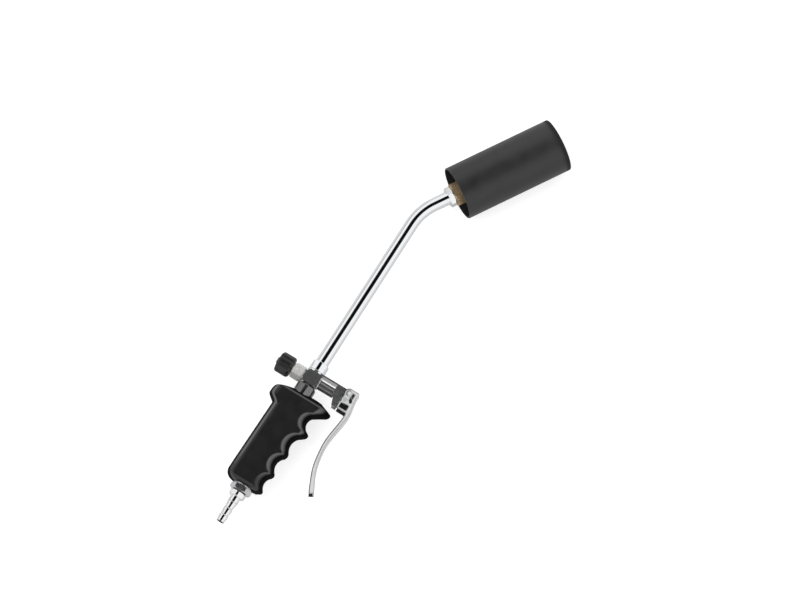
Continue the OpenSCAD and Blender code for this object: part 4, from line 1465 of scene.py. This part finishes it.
@dataclass(frozen=True)
class DarkFlag:
    """A long dark flag over the torch, seen only in its gloss. Angles are in degrees.

    Attributes:
        centre: Angle of the flag's middle about the torch's X.
        half: Half-widths at which the dark ends and the full light starts.
        past: X at which the far side starts and stops narrowing, and by how much.
        short: X at which the near side starts and stops narrowing, and by how much.
        ends: Distances along X at which the flag starts and stops fading.
        strip_centre: Angle of the middle of the grey strip beside it.
        strip_half: Half-widths at which the grey ends and the full light starts.
        strip_level: Light in the grey strip.
        low: Heights between which the light rises, and its level at the lower.
        dark: Light in the flag.
    """

    centre: float = -1.0
    half: tuple[float, float] = (27.0, 32.0)
    past: tuple[float, float, float] = (0.25, 0.65, 32.0)
    short: tuple[float, float, float] = (0.25, -0.35, 7.0)
    ends: tuple[float, float] = (0.55, 0.68)
    strip_centre: float = 76.0
    strip_half: tuple[float, float] = (4.0, 7.0)
    strip_level: float = 0.25
    low: tuple[float, float, float] = (-0.05, 0.12, 0.55)
    dark: float = 0.004


@dataclass
class Studio:
    """The floor, the light and the camera.

    Attributes:
        floor: Height of the floor.
        target: Where the camera looks, on the torch's plane.
        towards: Direction from the target to the camera, its Z left to the unit length.
        distance: From the target to the camera.
        roll: Angle in degrees of the torch's X in the picture.
        lens: Focal length of the camera.
        floor_seen: Glow of the floor towards the camera.
        floor_mirrored: Glow of the floor in gloss and glass.
        ambient: Light of the surround on the torch.
        flag: The dark flag over it.
    """

    floor: float = -26.5
    target: Point = (245.24, -29.96, 0.0)
    towards: tuple[float, float] = (-0.25, -0.12)
    distance: float = 4000.0
    roll: float = 57.3
    lens: float = 189.47
    floor_seen: float = 0.68
    floor_mirrored: float = 0.12
    ambient: float = 0.78
    flag: DarkFlag = DarkFlag()

    def camera(self) -> None:
        """Places the camera square to its line of sight."""
        a, b = self.towards
        back = Vector((a, b, math.sqrt(1 - a * a - b * b)))
        along = (Vector((1, 0, 0)) - back * a).normalized()
        across = back.cross(along)
        roll = math.radians(self.roll)
        right = along * math.cos(roll) - across * math.sin(roll)
        up = along * math.sin(roll) + across * math.cos(roll)
        data = bpy.data.cameras.new("camera")
        data.lens = self.lens
        data.sensor_width = 36.0
        data.clip_end = 50.0
        made = bpy.data.objects.new("camera", data)
        turn = Matrix((right, up, back)).transposed().to_4x4()
        made.matrix_world = Matrix.Translation((Vector(self.target) + back * self.distance) * MM) @ turn
        bpy.context.scene.collection.objects.link(made)
        bpy.context.scene.camera = made

    def ground(self) -> None:
        """Lays a pale floor that the camera sees as white and that keeps the shadow."""
        size = 6.0
        mesh = bpy.data.meshes.new("floor")
        z = self.floor * MM
        corners = [(-size, -size, z), (size, -size, z), (size, size, z), (-size, size, z)]
        mesh.from_pydata(corners, [], [(0, 1, 2, 3)])
        made = bpy.data.objects.new("floor", mesh)
        bpy.context.scene.collection.objects.link(made)
        paint = bpy.data.materials.new("floor")
        paint.use_nodes = True
        tree = Tree(paint.node_tree)
        shader = paint.node_tree.nodes["Principled BSDF"]
        shader.inputs["Base Color"].default_value = (0.6, 0.6, 0.6, 1.0)
        shader.inputs["Roughness"].default_value = 0.9
        shader.inputs["Specular IOR Level"].default_value = 0.0
        light = tree.add("ShaderNodeLightPath")
        mirrored = tree.math("MAXIMUM", light.outputs["Is Glossy Ray"], light.outputs["Is Transmission Ray"])
        glow = tree.math("ADD", tree.math("MULTIPLY", light.outputs["Is Camera Ray"], self.floor_seen),
                         tree.math("MULTIPLY", mirrored, self.floor_mirrored))
        shader.inputs["Emission Color"].default_value = (1.0, 1.0, 1.0, 1.0)
        tree.join(glow, shader.inputs["Emission Strength"])
        mesh.materials.append(paint)

    def sky(self) -> None:
        """Sets an even white surround with a long dark flag over the torch."""
        world = bpy.data.worlds.new("studio")
        world.use_nodes = True
        bpy.context.scene.world = world
        tree = Tree(world.node_tree)
        background = world.node_tree.nodes["Background"]
        place = tree.add("ShaderNodeTexCoord")
        split = tree.add("ShaderNodeSeparateXYZ")
        tree.join(place.outputs["Generated"], split.inputs[0])
        angle = tree.math("ARCTAN2", split.outputs["Y"], split.outputs["Z"])
        flag = self.flag
        off = tree.math("ABSOLUTE", tree.math("SUBTRACT", angle, math.radians(flag.centre)))
        past = tree.ramp(split.outputs["X"], flag.past[0], flag.past[1], 0.0, math.radians(flag.past[2]))
        short = tree.ramp(split.outputs["X"], flag.short[0], flag.short[1], 0.0, math.radians(flag.short[2]))
        off = tree.math("ADD", off, tree.math("ADD", past, short))
        lit = tree.ramp(off, math.radians(flag.half[0]), math.radians(flag.half[1]), 0.0, 1.0)
        ends = tree.ramp(tree.math("ABSOLUTE", split.outputs["X"]), flag.ends[0], flag.ends[1], 0.0, 1.0)
        lit = tree.math("MAXIMUM", lit, ends)
        aside = tree.math("ABSOLUTE", tree.math("SUBTRACT", angle, math.radians(flag.strip_centre)))
        strip = tree.ramp(aside, math.radians(flag.strip_half[0]), math.radians(flag.strip_half[1]),
                          flag.strip_level, 1.0)
        lit = tree.math("MINIMUM", lit, tree.math("MAXIMUM", strip, ends))
        low = tree.ramp(split.outputs["Z"], flag.low[0], flag.low[1], flag.low[2], 1.0)
        glossy = tree.ramp(tree.math("MULTIPLY", lit, low), 0.0, 1.0, flag.dark, 1.0)
        light = tree.add("ShaderNodeLightPath")
        level = tree.add("ShaderNodeMix", data_type="FLOAT")
        tree.join(light.outputs["Is Glossy Ray"], level.inputs[0])
        level.inputs[2].default_value = self.ambient
        tree.join(glossy, level.inputs[3])
        shown = tree.math("MAXIMUM", light.outputs["Is Camera Ray"], level.outputs[0])
        tree.join(shown, background.inputs["Strength"])
        background.inputs["Color"].default_value = (1.0, 1.0, 1.0, 1.0)

    def lamp(self, name: str, place: Point, power: float, size: float) -> None:
        """Hangs a soft square lamp that looks at the torch's middle.

        Args:
            name: The lamp's name.
            place: Where it hangs.
            power: Its power in watts.
            size: Its side in metres.
        """
        data = bpy.data.lights.new(name, "AREA")
        data.energy = power
        data.size = size
        made = bpy.data.objects.new(name, data)
        spot = Vector(place) * MM
        look = (spot - Vector(self.target) * MM).to_track_quat("Z", "Y")
        made.matrix_world = Matrix.Translation(spot) @ look.to_matrix().to_4x4()
        made.visible_glossy = False
        bpy.context.scene.collection.objects.link(made)

    def build(self) -> None:
        """Sets up the whole studio."""
        self.camera()
        self.ground()
        self.sky()
        self.lamp("key_lamp", (-300.0, 900.0, 1600.0), 14.0, 1.4)
        bpy.context.scene.view_settings.view_transform = "Standard"


def main() -> None:
    """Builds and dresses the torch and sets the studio."""
    logging.basicConfig(level=logging.INFO, format="%(name)s: %(message)s")
    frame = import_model()
    shop = Workshop(frame, Palette())
    for assembly in (HoseEnd(), Grip(), ValveBlock(), FlowKnob(), SqueezeLever(), Lance(), Burner()):
        LOG.info("building %s", type(assembly).__name__)
        assembly.build(shop)
    Studio().build()


if __name__ == "__main__":
    main()
